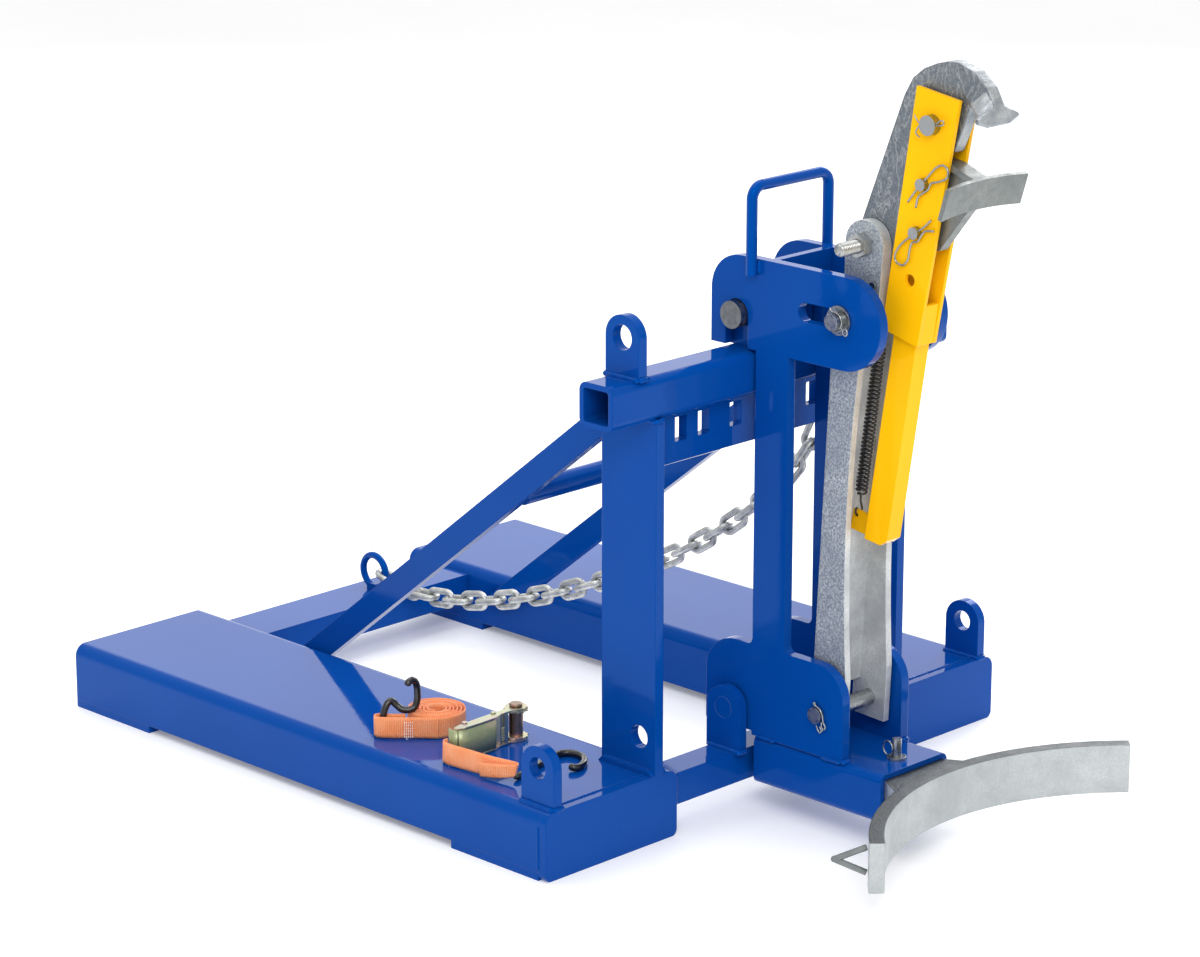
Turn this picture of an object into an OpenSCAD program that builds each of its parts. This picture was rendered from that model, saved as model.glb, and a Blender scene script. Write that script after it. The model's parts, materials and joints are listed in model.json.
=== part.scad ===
// Fork-mounted drum lifter: a welded base with two fork pockets, a lift-off
// carriage that hooks over two bars, and a parrot-beak clamp that closes on
// the chime of a steel drum under the drum's own weight.
// Front (drum side) is -Y, the forks enter from +Y, +Z is up.

/* [Fork pockets] */
// Distance between the centre lines of the two fork pockets
pocket_pitch = 560; // [500:5:700]
// Outside width of one pocket
pocket_w = 208; // [180:1:230]
// Length of a pocket behind its end plate
pocket_l = 816; // [700:1:1000]
// Height of a pocket's channel above its straps
pocket_h = 70.5; // [60:0.5:85]
// Plate thickness of a pocket
pocket_t = 6.4; // [4:0.1:9]
// Outside radius of a pocket's bends
bend_r = 14.5; // [10:0.5:18]
// Thickness of the plate that closes a pocket's front
end_t = 12; // [8:0.5:16]
// Corner radius at the foot of the end plate
end_r = 8; // [4:0.5:12]
// Thickness of the straps under a pocket
strap_t = 9.5; // [6:0.5:14]
// Length of a strap along the pocket
strap_w = 140; // [100:1:180]
// Leg of the weld beads
weld = 6; // [3:0.5:8]

/* [Cross tubes] */
// Side of the square front cross tube and height of the rear one
cross_h = 38; // [30:0.5:44]
// Depth of the rear cross tube
rear_cross_d = 76; // [50:1:100]
// Wall of both cross tubes
cross_wall = 4.8; // [3:0.1:6.5]
// Height of the cross tubes' underside above the floor
cross_z = 33; // [26:0.5:38]
// Distance from the rear of the pockets to the rear cross tube
rear_cross_back = 38; // [20:1:80]

/* [Uprights and top tube] */
// Side of the square top tube
tube_s = 50.8; // [44:0.1:60]
// Wall of the top tube
tube_wall = 6.4; // [4:0.1:8]
// Outside corner radius of the top tube
tube_r = 10; // [7:0.5:12]
// Length of the top tube
tube_l = 561; // [520:1:640]
// Height of the top tube's top face
tube_top = 542.8; // [500:0.1:620]
// Thickness of the upright plates, lugs and saddles
plate_t = 12.7; // [9:0.1:15]
// Width of an upright plate
post_w = 84; // [70:1:95]
// Distance of an upright's outer face from the middle
post_x = 212; // [200:1:225]
// Bore in the foot of an upright
post_hole_d = 27; // [20:0.5:34]
// Distance of a lifting lug from the end of the top tube
lug_inset = 40.5; // [30:0.5:60]
// Bore of a lifting lug
lug_hole_d = 29; // [22:0.5:34]
// Height of a lifting lug's bore above the top tube
lug_rise = 45; // [38:0.5:60]
// Width of a diagonal brace
brace_w = 31.8; // [25:0.1:40]
// Depth of the brace's centre below the top of the tube
brace_drop = 23.4; // [19:0.1:30]
// Run of a brace from the top tube to its foot on the pocket
brace_run = 600; // [500:1:640]
// Height of a brace's foot on the pocket's wall
brace_foot = 45; // [36:0.5:56]
// Diameter of the bar between the braces
tie_d = 27; // [20:0.5:32]
// Distance of that bar behind the top tube
tie_back = 211; // [150:1:300]

/* [Slotted plate] */
// Depth of the slotted plate below the top tube
comb_h = 59; // [50:0.5:75]
// Width of one slot
slot_w = 19; // [14:0.5:22]
// Height of one slot
slot_h = 28; // [20:0.5:34]
// Distance of the slots below the top tube
slot_drop = 8; // [5:0.5:14]
// Distance of the inner slots from the middle
slot_x1 = 64; // [60:0.5:72]
// Distance of the middle slots from the middle
slot_x2 = 116; // [102:0.5:122]
// Distance of the outer slots from the middle
slot_x3 = 153; // [148:0.5:170]

/* [Hanger bars] */
// Diameter of the upper hanger bar
top_bar_d = 31.8; // [25:0.1:35]
// Height of the upper bar's axis above the top tube
top_bar_rise = 40; // [36:0.5:50]
// Half length of the upper bar
top_bar_half = 67; // [64:0.5:80]
// Diameter of the lower hanger bar
low_bar_d = 25.4; // [20:0.1:28]
// Height of the lower bar's axis above the floor
low_bar_z = 121; // [112:0.5:130]
// Width of the lugs that carry the lower bar
low_lug_w = 50.8; // [44:0.1:56]

/* [Front lugs and chain anchor] */
// Width of a front lug
front_lug_w = 51; // [44:0.5:66]
// Bore of a front lug
front_lug_hole = 25; // [20:0.5:32]
// Height of a front lug's bore above its pocket
front_lug_rise = 44; // [34:0.5:56]
// Thickness of a front lug
front_lug_t = 12.5; // [7:0.5:12.5]
// Distance of the front lugs behind the front faces
front_lug_set = 2; // [1:0.5:14]
// Distance of the chain anchor from the middle
anchor_x = 45; // [20:1:80]
// Rod diameter of the chain anchor
anchor_rod = 9; // [7:0.5:11]
// Mean radius of the chain anchor's ring
anchor_r = 21; // [18:0.5:24]

/* [Safety chain] */
// Wire diameter of the chain
chain_wire = 8; // [6:0.1:9]
// Inner length of one link
chain_pitch = 30; // [26:0.5:34]
// Clear width inside a link
chain_gap = 10; // [9:0.1:12]
// Slack between two links
chain_slack = 1.2; // [0.6:0.1:2]

/* [Carriage] */
// Width over the two side plates
carriage_w = 114; // [106:0.5:120]
// Front reach of the carriage head from the hanger bars
head_front = 211; // [200:1:230]
// Rear reach of the hook prong from the hanger bars
head_rear = 38.6; // [34:0.1:46]
// Height of the carriage head
head_h = 105; // [98:0.5:120]
// Distance of the head's top above the upper bar
head_rise = 67.5; // [60:0.5:80]
// Width of a carriage leg
leg_w = 48; // [40:0.5:54]
// Clearance between the legs and the top tube
leg_gap = 4; // [2:0.1:6]
// Running clearance of the hooks round the bars
hook_gap = 1; // [0.5:0.1:2]
// Height of the side plates' foot
foot_h = 109; // [100:0.5:120]
// Rear reach of the lower hook from the hanger bars
foot_rear = 42; // [36:0.5:50]
// Front reach of the side plates' foot from the hanger bars
foot_front = 167; // [155:1:180]
// Slot width for the arm's guide pin
guide_slot_w = 22; // [20.5:0.5:26]
// Free travel of the guide pin in its slot
guide_travel = 50; // [30:1:56]
// Thickness of the plate across the head
web_t = 9.5; // [6:0.5:12.5]
// Rod diameter of the handle
handle_d = 12.7; // [10:0.1:16]
// Height of the handle above the head
handle_rise = 88; // [80:1:130]
// Bend radius of the handle
handle_r = 15; // [12:1:36]

/* [Foot tube and bumper] */
// Height of the foot tube
foot_tube_h = 58; // [50:0.5:62]
// Length of the foot tube
foot_tube_l = 192; // [170:1:230]
// Wall of the foot tube
foot_tube_wall = 6.4; // [4:0.1:8]
// Outside corner radius of the foot tube
foot_tube_r = 9; // [7:0.5:12]
// Radius of the bumper's face, a little over that of the drum
bumper_r = 298; // [285:1:310]
// Thickness of the bumper's arc
bumper_t = 17; // [12:0.5:22]
// Height of the bumper's arc
bumper_h = 57; // [50:0.5:62]
// Half the angle of the bumper's arc
bumper_half_angle = 45.6; // [36:0.1:50]
// Reach of the bumper's face from the hanger bars
bumper_reach = 276.5; // [270:0.5:300]
// Length of the bumper's shank inside the foot tube
shank_l = 80; // [60:1:110]
// Clearance of the shank in the foot tube
shank_gap = 0.5; // [0.3:0.1:1.5]
// Diameter of the bumper's drop pin
drop_pin_d = 11; // [9:0.5:13]

/* [Arm] */
// Width over the arm's flanges
arm_w = 80; // [74:0.5:86]
// Thickness of the arm's flanges
arm_t = 9; // [7:0.5:11]
// Thickness of the arm's back
arm_back_t = 9; // [7:0.5:11]
// Depth of the waist in the arm's front edge
arm_waist = 13; // [8:0.5:15]
// Radius of the arm's foot and depth of its back behind the pivot line
arm_r = 24; // [21:0.5:26]
// Distance from the arm's pivot to the beak's stud
arm_l = 542; // [520:1:580]
// Distance of the guide pin below the stud
guide_drop = 80; // [74:1:90]
// Forward lean of the arm at rest, in degrees
arm_lean = 2.9; // [1.5:0.1:4]
// Diameter of the arm's pivot pin and of the guide pin
arm_pin_d = 19; // [16:0.5:20]
// Height of the arm's pivot above the foot tube
arm_pivot_rise = 49; // [44:0.5:60]
// Distance of the arm's pivot in front of the hanger bars
arm_pivot_front = 129.4; // [124:0.1:136]
// Radius of the arm's two top ears
ear_r = 27; // [24:0.5:29]
// Thickness of one top ear
ear_t = 14.5; // [11:0.5:16]
// Side clearance between an ear and the beak
ear_gap = 1; // [0.5:0.1:2]

/* [Beak] */
// Thickness of the beak's plate
beak_t = 16; // [12:0.5:20]
// Distance from the stud to the lever's pin
beak_c = 167.5; // [160:0.5:180]
// Forward lean of the beak at rest, in degrees
beak_lean = 31.1; // [28:0.1:34]
// Radius of the beak's foot
beak_foot_r = 25; // [22:0.5:27]
// Width of the beak's lip
lip_w = 66; // [52:1:76]
// Diameter of the stud
stud_d = 16; // [14:0.5:18]
// Diameter of the pin that holds the spring's upper end
spring_pin_d = 8; // [6:0.5:10]
// Diameter of the lever's top pin
top_pin_d = 22; // [18:0.5:24]

/* [Lever and jaw] */
// Outside width over the lever's side plates
lever_w = 33; // [32.5:0.5:38]
// Thickness of the lever's plates
lever_t = 5; // [4:0.1:6]
// Rearward lean of the lever's foot at rest, in degrees
lever_lean = 8.7; // [7:0.1:10]
// Length of the side plates below the top pin
side_l = 247; // [235:1:260]
// Length of the side plates above the top pin
side_up = 35; // [30:0.5:40]
// Reach of the side plates behind the top pin
side_rear = 28.5; // [25:0.5:30]
// Reach of the side plates in front of the top pin
side_front = 31.5; // [28:0.5:33]
// Reach of the side plates in front of the pin line at their foot
side_toe = 23; // [21.5:0.5:28]
// Length of the whole lever below the top pin
lever_l = 489; // [470:1:520]
// Depth of the lever's lower channel
channel_d = 32; // [26:0.5:36]
// Diameter of the two jaw pins
jaw_pin_d = 13.5; // [11:0.5:14]
// Distance from the top pin to the first jaw pin
jaw_pin_1 = 67; // [62:0.5:72]
// Spacing of the jaw pins' holes
jaw_pitch = 55; // [50:0.5:60]
// Width of the jaw's pad
pad_w = 132; // [100:1:160]
// Height of the jaw's pad
pad_h = 35.5; // [28:0.5:42]
// Thickness of the jaw's pad
pad_t = 5.5; // [4:0.5:8]
// Reach of the pad's face from the lever's pin line
pad_reach = 67; // [62:0.5:75]
// Tilt of the pad against the lever, in degrees
pad_tilt = 7.8; // [0:0.1:12]
// Thickness of the jaw's web
jaw_web_t = 14; // [10:0.5:20]
// Outside diameter of the spring
spring_d = 14.5; // [12:0.5:16]
// Wire diameter of the spring
spring_wire = 2.2; // [1.8:0.1:2.8]

/* [Ratchet strap] */
// Width of the webbing
webbing_w = 25; // [20:1:30]
// Thickness of the webbing
webbing_t = 2.2; // [1.6:0.1:3]
// Outside radius of the rolled webbing
roll_r = 35; // [28:1:40]
// Turns of the roll
roll_turns = 6; // [3:1:8]
// Wire diameter of the strap's hooks
hook_wire = 7; // [6:0.5:8]
// Length of the ratchet
ratchet_l = 124; // [100:1:140]
// Width of the ratchet's plates
ratchet_w = 27; // [22:0.5:34]
// Width over the ratchet's plates
ratchet_h = 40; // [34:0.5:46]
// Thickness of the ratchet's plates
ratchet_t = 2.5; // [2:0.1:3]
// Diameter of the ratchet's drum
drum_d = 17; // [12:0.5:20]

/* [Hidden] */
$fn = 48;

// Overrun of the cuts
cut = 1;
// Gap between bodies that rest on or move past each other
seat = 0.3;
// Radial clearance of the running fits
fit = 0.08;
// Clearance of the saddles and the lower lugs beside the carriage's plates
side_gap = 2;
// Radii of the corners of the carriage's side plates
head_rear_r = 43;
foot_front_r = 40;
foot_rear_r = 45;
leg_fillet_r = 8;
// Height by which the rear hook's tip clears the foot tube's top
hook_lift = 5;

pocket_top = strap_t + pocket_h;
pocket_x = pocket_pitch / 2;
pocket_in = pocket_x - pocket_w / 2;
pocket_out = pocket_x + pocket_w / 2;
rear_y = end_t + pocket_l;
cross_top = cross_z + cross_h;
bar_y = tube_s / 2;
tube_bottom = tube_top - tube_s;
top_bar_z = tube_top + top_bar_rise;
rear_cross_y = rear_y - rear_cross_back - rear_cross_d;
brace_face = pocket_in;
post_in = post_x - plate_t;

// carriage
plate_out = carriage_w / 2;
plate_in = plate_out - plate_t;
leg_y = -leg_gap;
head_top = top_bar_z + head_rise;
foot_tube_top = cross_z + foot_tube_h;
foot_top = foot_tube_top + foot_h;
pivot_y = bar_y - arm_pivot_front;
pivot_z = foot_tube_top + arm_pivot_rise;
foot_tube_y = leg_y - leg_gap - foot_tube_l;

// arm, beak and lever at rest
stud_y = pivot_y - arm_l * sin(arm_lean);
stud_z = pivot_z + arm_l * cos(arm_lean);
lug_x = tube_l / 2 - lug_inset;
guide_l = arm_l - guide_drop;
guide_y = pivot_y - guide_l * sin(arm_lean);
guide_z = pivot_z + guide_l * cos(arm_lean);
guide_back = guide_y + guide_travel;
crown_y = stud_y - beak_c * sin(beak_lean);
crown_z = stud_z + beak_c * cos(beak_lean);
ear_in = beak_t / 2 + ear_gap;
ear_out = ear_in + ear_t;
side_in = lever_w / 2 - lever_t;

// bumper
bumper_cy = bar_y - bumper_reach - bumper_r;
front_y = bumper_cy + bumper_r * cos(bumper_half_angle);
bumper_rise = 3;
bumper_z = foot_tube_top + bumper_rise - bumper_h;

// The origin lies under the middle of the whole machine
mid_y = (rear_y + front_y) / 2;

blue = [0.05, 0.25, 0.62];
grey = [0.62, 0.64, 0.66];
yellow = [0.98, 0.76, 0.05];
orange = [0.95, 0.38, 0.16];
zinc = [0.72, 0.66, 0.42];
black = [0.08, 0.08, 0.09];

module placed() { translate([0, -mid_y, 0]) children(); }
// one side of the machine, s is -1 on the left and 1 on the right
module side(s) { if (s < 0) children(); else mirror([1, 0, 0]) children(); }
// a plate in the YZ plane from x outwards, drawn as (y, z)
module slab(x, t) { translate([x, 0, 0]) rotate([90, 0, 90]) linear_extrude(t) children(); }
// a bar along X, centred on the middle plane
module across(half, r) { rotate([0, 90, 0]) cylinder(h = 2 * half, r = r, center = true); }

module arch(w, h, r) {
    translate([-w / 2, 0]) square([w, h - r]);
    translate([r - w / 2, 0]) square([w - 2 * r, h]);
    for (s = [-1, 1]) translate([s * (w / 2 - r), h - r]) circle(r);
}
module rounded(w, h, r) {
    translate([r, 0]) square([w - 2 * r, h]);
    translate([0, r]) square([w, h - 2 * r]);
    for (i = [r, w - r], j = [r, h - r]) translate([i, j]) circle(r);
}
// a lug: straight sides and a round top about the bore at height c
module tab(w, c) {
    translate([-w / 2, 0]) square([w, c]);
    translate([0, c]) circle(w / 2);
}
// a straight rod between two points
module rod(a, b, d) {
    v = b - a;
    translate(a) rotate([0, acos(v[2] / norm(v)), atan2(v[1], v[0])])
        cylinder(h = norm(v), d = d, $fn = 20);
}

// base
module pocket(s) {
    side(s) translate([-pocket_x, rear_y, strap_t]) rotate([90, 0, 0])
        linear_extrude(pocket_l) difference() {
            arch(pocket_w, pocket_h, bend_r);
            translate([0, -cut]) arch(pocket_w - 2 * pocket_t, pocket_h + cut - pocket_t, bend_r - pocket_t);
        }
}
module left_fork_pocket() { color(blue) placed() pocket(-1); }
module right_fork_pocket() { color(blue) placed() pocket(1); }

module pocket_end(s) {
    side(s) translate([-pocket_x, end_t, 0]) rotate([90, 0, 0]) linear_extrude(end_t) union() {
        translate([0, end_r]) arch(pocket_w, pocket_top - end_r, bend_r);
        translate([end_r - pocket_w / 2, 0]) square([pocket_w - 2 * end_r, 2 * end_r]);
        for (i = [-1, 1]) translate([i * (pocket_w / 2 - end_r), end_r]) circle(end_r);
    }
}
module left_pocket_end() { color(blue) placed() pocket_end(-1); }
module right_pocket_end() { color(blue) placed() pocket_end(1); }

module strap(s, y) {
    side(s) translate([-pocket_out, y, 0]) cube([pocket_w, strap_w, strap_t]);
}
module front_straps() { color(blue) placed() for (s = [-1, 1]) strap(s, end_t); }
module rear_straps() { color(blue) placed() for (s = [-1, 1]) strap(s, rear_y - strap_w); }

module cross_tube(y, d) {
    translate([0, y, cross_z]) difference() {
        translate([-pocket_in, 0, 0]) cube([2 * pocket_in, d, cross_h]);
        translate([-pocket_in - cut, cross_wall, cross_wall])
            cube([2 * (pocket_in + cut), d - 2 * cross_wall, cross_h - 2 * cross_wall]);
    }
}
module front_cross_tube() { color(blue) placed() cross_tube(bar_y - cross_h / 2, cross_h); }
module rear_cross_tube() { color(blue) placed() cross_tube(rear_cross_y, rear_cross_d); }

module upright(s) {
    side(s) {
        slab(-post_x, plate_t) difference() {
            translate([0, pocket_top]) square([post_w, tube_bottom - pocket_top]);
            translate([bar_y, low_bar_z]) circle(d = post_hole_d);
        }
        // weld bead round the foot
        for (x = [-post_x - weld, -post_in]) slab(x, weld) translate([0, pocket_top])
            polygon([[0, 0], [post_w, 0], [post_w - weld, weld], [weld, weld]]);
    }
}
module left_upright() { color(blue) placed() upright(-1); }
module right_upright() { color(blue) placed() upright(1); }

brace_fall = tube_top - brace_drop - brace_foot;
brace_angle = atan(brace_fall / brace_run);
module brace(s) {
    side(s) intersection() {
        translate([-brace_face, tube_s, tube_top - brace_drop]) rotate([-brace_angle, 0, 0])
            translate([0, -brace_w, -brace_w / 2])
                cube([plate_t, brace_run / cos(brace_angle) + 3 * brace_w, brace_w]);
        translate([-brace_face, tube_s, brace_foot])
            cube([plate_t, brace_run + 2 * brace_w, tube_top - brace_foot]);
    }
}
module left_brace() { color(blue) placed() brace(-1); }
module right_brace() { color(blue) placed() brace(1); }

tie_y = tube_s + tie_back;
// the tie bar lies low on the braces, its underside level with theirs
tie_z = tube_top - brace_drop - brace_fall * tie_back / brace_run
    - brace_w / 2 / cos(brace_angle) + tie_d / 2;
module brace_tie() {
    color(blue) placed() translate([0, tie_y, tie_z]) across(brace_face - plate_t, tie_d / 2);
}

module top_tube() {
    color(blue) placed() slab(-tube_l / 2, tube_l) translate([0, tube_bottom]) difference() {
        rounded(tube_s, tube_s, tube_r);
        translate([tube_wall, tube_wall])
            rounded(tube_s - 2 * tube_wall, tube_s - 2 * tube_wall, tube_r - tube_wall);
    }
}
module lifting_lug(s) {
    side(s) {
        slab(-lug_x, plate_t) translate([bar_y, tube_top]) difference() {
            tab(tube_s, lug_rise);
            translate([0, lug_rise]) circle(d = lug_hole_d);
        }
    }
}
module left_lifting_lug() { color(blue) placed() lifting_lug(-1); }
module right_lifting_lug() { color(blue) placed() lifting_lug(1); }

module slotted_plate() {
    color(blue) placed() difference() {
        translate([-post_in, bar_y - plate_t / 2, tube_bottom - comb_h])
            cube([2 * post_in, plate_t, comb_h]);
        for (s = [-1, 1], x = [slot_x1, slot_x2, slot_x3])
            translate([s * x - slot_w / 2, bar_y - plate_t / 2 - cut, tube_bottom - slot_drop - slot_h])
                cube([slot_w, plate_t + 2 * cut, slot_h]);
    }
}

saddle_out = plate_in - side_gap;
module upper_saddles() {
    color(blue) placed() for (s = [-1, 1]) side(s)
        slab(-saddle_out, plate_t) translate([bar_y, tube_top]) difference() {
            tab(tube_s, top_bar_rise);
            translate([0, top_bar_rise]) circle(d = top_bar_d);
        }
}
module upper_hanger_bar() {
    color(blue) placed() translate([0, bar_y, top_bar_z]) across(top_bar_half, top_bar_d / 2);
}
low_lug_in = plate_out + 2 * side_gap;
module lower_lugs() {
    color(blue) placed() for (s = [-1, 1]) side(s)
        slab(-low_lug_in - plate_t, plate_t) translate([bar_y, cross_top]) difference() {
            tab(low_lug_w, low_bar_z - cross_top);
            translate([0, low_bar_z - cross_top]) circle(d = low_bar_d);
        }
}
module lower_hanger_bar() {
    color(blue) placed() translate([0, bar_y, low_bar_z]) across(low_lug_in + plate_t, low_bar_d / 2);
}
module front_lug(s) {
    side(s) slab(-pocket_out + bend_r, front_lug_t)
        translate([front_lug_w / 2 + front_lug_set, pocket_top]) difference() {
        tab(front_lug_w, front_lug_rise);
        translate([0, front_lug_rise]) circle(d = front_lug_hole);
    }
}
module left_front_lug() { color(blue) placed() front_lug(-1); }
module right_front_lug() { color(blue) placed() front_lug(1); }

anchor_y = rear_cross_y + rear_cross_d / 2;
anchor_z = cross_top + anchor_r + anchor_rod / 2;
module chain_anchor() {
    // a bent rod: a ring standing on the rear cross tube
    color(blue) placed() translate([anchor_x, anchor_y, cross_top]) {
        translate([0, 0, anchor_z - cross_top]) rotate([90, 0, 90])
            rotate_extrude() translate([anchor_r, 0]) circle(d = anchor_rod, $fn = 24);
        translate([-anchor_rod / 2, -anchor_r / 2, 0]) cube([anchor_rod, anchor_r, anchor_rod]);
    }
}

// safety chain
// The chain hangs in a curve from the anchor's ring to a slot of the slotted plate;
// the two middle points steer the curve, as shares of its run and of its rise.
chain_a = [anchor_x, anchor_y - anchor_r + anchor_rod / 2 + chain_slack, anchor_z];
chain_b = [slot_x2, bar_y + plate_t + chain_wire, tube_bottom - slot_drop - slot_h];
chain_run = chain_a - chain_b;
chain_p = chain_a + [-0.333 * chain_run[0], -0.183 * chain_run[1], 0.223 * chain_run[2]];
chain_q = chain_a + [-0.666 * chain_run[0], -1.031 * chain_run[1], -0.48 * chain_run[2]];
function chain_pt(u) = pow(1 - u, 3) * chain_a + 3 * u * pow(1 - u, 2) * chain_p
    + 3 * u * u * (1 - u) * chain_q + pow(u, 3) * chain_b;
chain_step = chain_pitch - chain_slack;
// where the curve is one step further on
function chain_next(u, lo, hi, n) = n == 0 ? hi
    : norm(chain_pt((lo + hi) / 2) - chain_pt(u)) < chain_step ? chain_next(u, (lo + hi) / 2, hi, n - 1)
    : chain_next(u, lo, (lo + hi) / 2, n - 1);
function chain_us(u) = u >= 1 ? [] : concat([u], chain_us(chain_next(u, u, u + chain_reach, halvings)));
chain_reach = 0.15;
halvings = 20;
chain_u = chain_us(0);
link_r = chain_gap / 2 + chain_wire / 2;
link_half_l = chain_pitch / 2 - chain_gap / 2;
module link() {
    for (s = [-1, 1]) {
        translate([s * link_half_l, 0, 0]) rotate([0, 0, -90 * s]) rotate_extrude(angle = 180, $fn = 16)
            translate([link_r, 0]) circle(d = chain_wire, $fn = 13);
        translate([0, s * link_r, 0]) rotate([0, 90, 0])
            cylinder(h = 2 * link_half_l, d = chain_wire, center = true, $fn = 13);
    }
}
module safety_chain() {
    color(grey) placed() {
        for (i = [0 : len(chain_u) - 2]) {
            a = chain_pt(chain_u[i]);
            b = chain_pt(chain_u[i + 1]);
            d = b - a;
            translate((a + b) / 2) rotate([0, -asin(d[2] / norm(d)), atan2(d[1], d[0])])
                rotate([90 * (i % 2), 0, 0]) link();
        }
        // the last link lies in the slot
        translate([slot_x2, bar_y + plate_t / 2, tube_bottom - slot_drop - slot_h / 2])
            rotate([0, 90, 0]) rotate([0, 0, 90]) link();
    }
}

// carriage
head_bottom = head_top - head_h;
head_rear_y = bar_y + head_rear;
nose_y = bar_y - head_front + head_h / 2;
leg_front = leg_y - leg_w;
foot_front_y = bar_y - foot_front;
foot_rear_y = bar_y + foot_rear;
tube_rear = leg_y - leg_gap;
module hook_notch(z, d, low) {
    translate([bar_y, z]) circle(d = d + 2 * hook_gap);
    translate([bar_y - d / 2 - hook_gap, low - cut]) square([d + 2 * hook_gap, z - low + cut]);
}
// fills the corner at (y, z) that opens towards sy and sz
module fillet(y, z, sy, sz, r) {
    translate([y, z]) scale([sy, sz]) difference() {
        square(r);
        translate([r, r]) circle(r);
    }
}
module side_profile() {
    difference() {
        union() {
            // head with a round nose
            translate([nose_y, head_bottom]) square([head_rear_y - head_rear_r - nose_y, head_h]);
            translate([nose_y, head_bottom + head_h / 2]) circle(d = head_h);
            translate([nose_y, head_bottom]) square([head_rear_y - nose_y, head_h - head_rear_r]);
            translate([head_rear_y - head_rear_r, head_top - head_rear_r]) circle(head_rear_r);
            // leg
            translate([leg_front, foot_tube_top]) square([leg_w, head_top - head_rear_r - foot_tube_top]);
            // foot
            translate([foot_front_y, foot_tube_top])
                square([tube_rear - foot_front_y, foot_h - foot_front_r]);
            translate([foot_front_y + foot_front_r, foot_top - foot_front_r]) circle(foot_front_r);
            translate([foot_front_y + foot_front_r, foot_tube_top + hook_lift])
                square([foot_front + foot_rear - foot_front_r - foot_rear_r, foot_h - hook_lift]);
            translate([tube_rear, foot_tube_top + hook_lift])
                square([foot_rear_y - tube_rear, foot_h - hook_lift - foot_rear_r]);
            translate([foot_rear_y - foot_rear_r, foot_top - foot_rear_r]) circle(foot_rear_r);
            fillet(leg_front, foot_top, -1, 1, leg_fillet_r);
            fillet(leg_y, foot_top, 1, 1, leg_fillet_r);
        }
        hook_notch(top_bar_z, top_bar_d, head_bottom);
        hook_notch(low_bar_z, low_bar_d, foot_tube_top);
        // slot of the guide pin
        for (y = [guide_y, guide_back]) translate([y, guide_z]) circle(d = guide_slot_w);
        translate([guide_y, guide_z - guide_slot_w / 2]) square([guide_travel, guide_slot_w]);
        // bore of the arm's pivot pin
        translate([pivot_y, pivot_z]) circle(d = arm_pin_d + 2 * fit);
    }
}
module left_side_plate() { color(blue) placed() side(-1) slab(-plate_out, plate_t) side_profile(); }
module right_side_plate() { color(blue) placed() side(1) slab(-plate_out, plate_t) side_profile(); }

module carriage_web() {
    color(blue) placed() translate([-plate_in, leg_y - plate_t - web_t, head_top - tube_s])
        cube([2 * plate_in, web_t, tube_s]);
}
handle_lap = 18;
handle_x = plate_out + handle_d / 2;
handle_y = leg_y + side_gap;
handle_top = head_top + handle_rise - handle_d / 2;
handle_foot = head_top - handle_lap;
module carriage_handle() {
    color(blue) placed() translate([0, handle_y, 0]) {
        for (s = [-1, 1]) {
            translate([s * handle_x, 0, handle_foot])
                cylinder(h = handle_top - handle_r - handle_foot, d = handle_d);
            translate([s * (handle_x - handle_r), 0, handle_top - handle_r]) rotate([90, 0, 0])
                rotate([0, 0, s > 0 ? 0 : 90]) rotate_extrude(angle = 90) translate([handle_r, 0])
                    circle(d = handle_d, $fn = 24);
        }
        translate([0, 0, handle_top]) across(handle_x - handle_r, handle_d / 2);
    }
}
module foot_tube() {
    color(blue) placed() difference() {
        translate([-plate_out, foot_tube_y + foot_tube_l, cross_z]) rotate([90, 0, 0])
            linear_extrude(foot_tube_l)
            difference() {
                rounded(carriage_w, foot_tube_h, foot_tube_r);
                translate([foot_tube_wall, foot_tube_wall]) rounded(carriage_w - 2 * foot_tube_wall,
                    foot_tube_h - 2 * foot_tube_wall, foot_tube_r - foot_tube_wall);
            }
        drop_bore();
    }
}
drop_pin_in = 26;
drop_y = foot_tube_y + drop_pin_in;
module drop_bore() {
    translate([0, drop_y, cross_z - cut])
        cylinder(h = foot_tube_h + 2 * cut, d = drop_pin_d + 2 * shank_gap);
}
shank_w = carriage_w - 2 * foot_tube_wall - 2 * shank_gap;
shank_h = foot_tube_h - 2 * foot_tube_wall - 2 * shank_gap;
shank_z = cross_z + foot_tube_wall + shank_gap;
flare_share = 1.6;
bumper_back = bumper_cy + bumper_r + bumper_t;
module bumper() {
    color(grey) placed() difference() {
        union() {
            // the arc that bears on the drum
            translate([0, bumper_cy, bumper_z]) intersection() {
                difference() {
                    cylinder(h = bumper_h, r = bumper_r + bumper_t, $fn = 96);
                    translate([0, 0, -cut]) cylinder(h = bumper_h + 2 * cut, r = bumper_r, $fn = 96);
                }
                linear_extrude(bumper_h) polygon([[0, 0],
                    for (s = [1, -1]) 2 * bumper_r * [s * sin(bumper_half_angle), cos(bumper_half_angle)]]);
            }
            // the shank, flared where it meets the arc
            translate([-shank_w / 2, foot_tube_y + shank_l, shank_z]) rotate([90, 0, 0])
                linear_extrude(shank_l) rounded(shank_w, shank_h, foot_tube_r - foot_tube_wall);
            difference() {
                translate([0, 0, shank_z]) linear_extrude(shank_h) polygon([
                    [-shank_w / 2, foot_tube_y], [shank_w / 2, foot_tube_y],
                    [flare_share * shank_w / 2, bumper_back - bumper_t],
                    [-flare_share * shank_w / 2, bumper_back - bumper_t]]);
                translate([0, bumper_cy, shank_z - cut])
                    cylinder(h = shank_h + 2 * cut, r = bumper_r + bumper_t / 2, $fn = 96);
            }
        }
        drop_bore();
    }
}
// bent rods behind the ends of the arc, where a strap's hooks go
eye_rod = 7;
eye_rise = 29;
eye_reach = 34.5;
eye_angle = 41;
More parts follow.
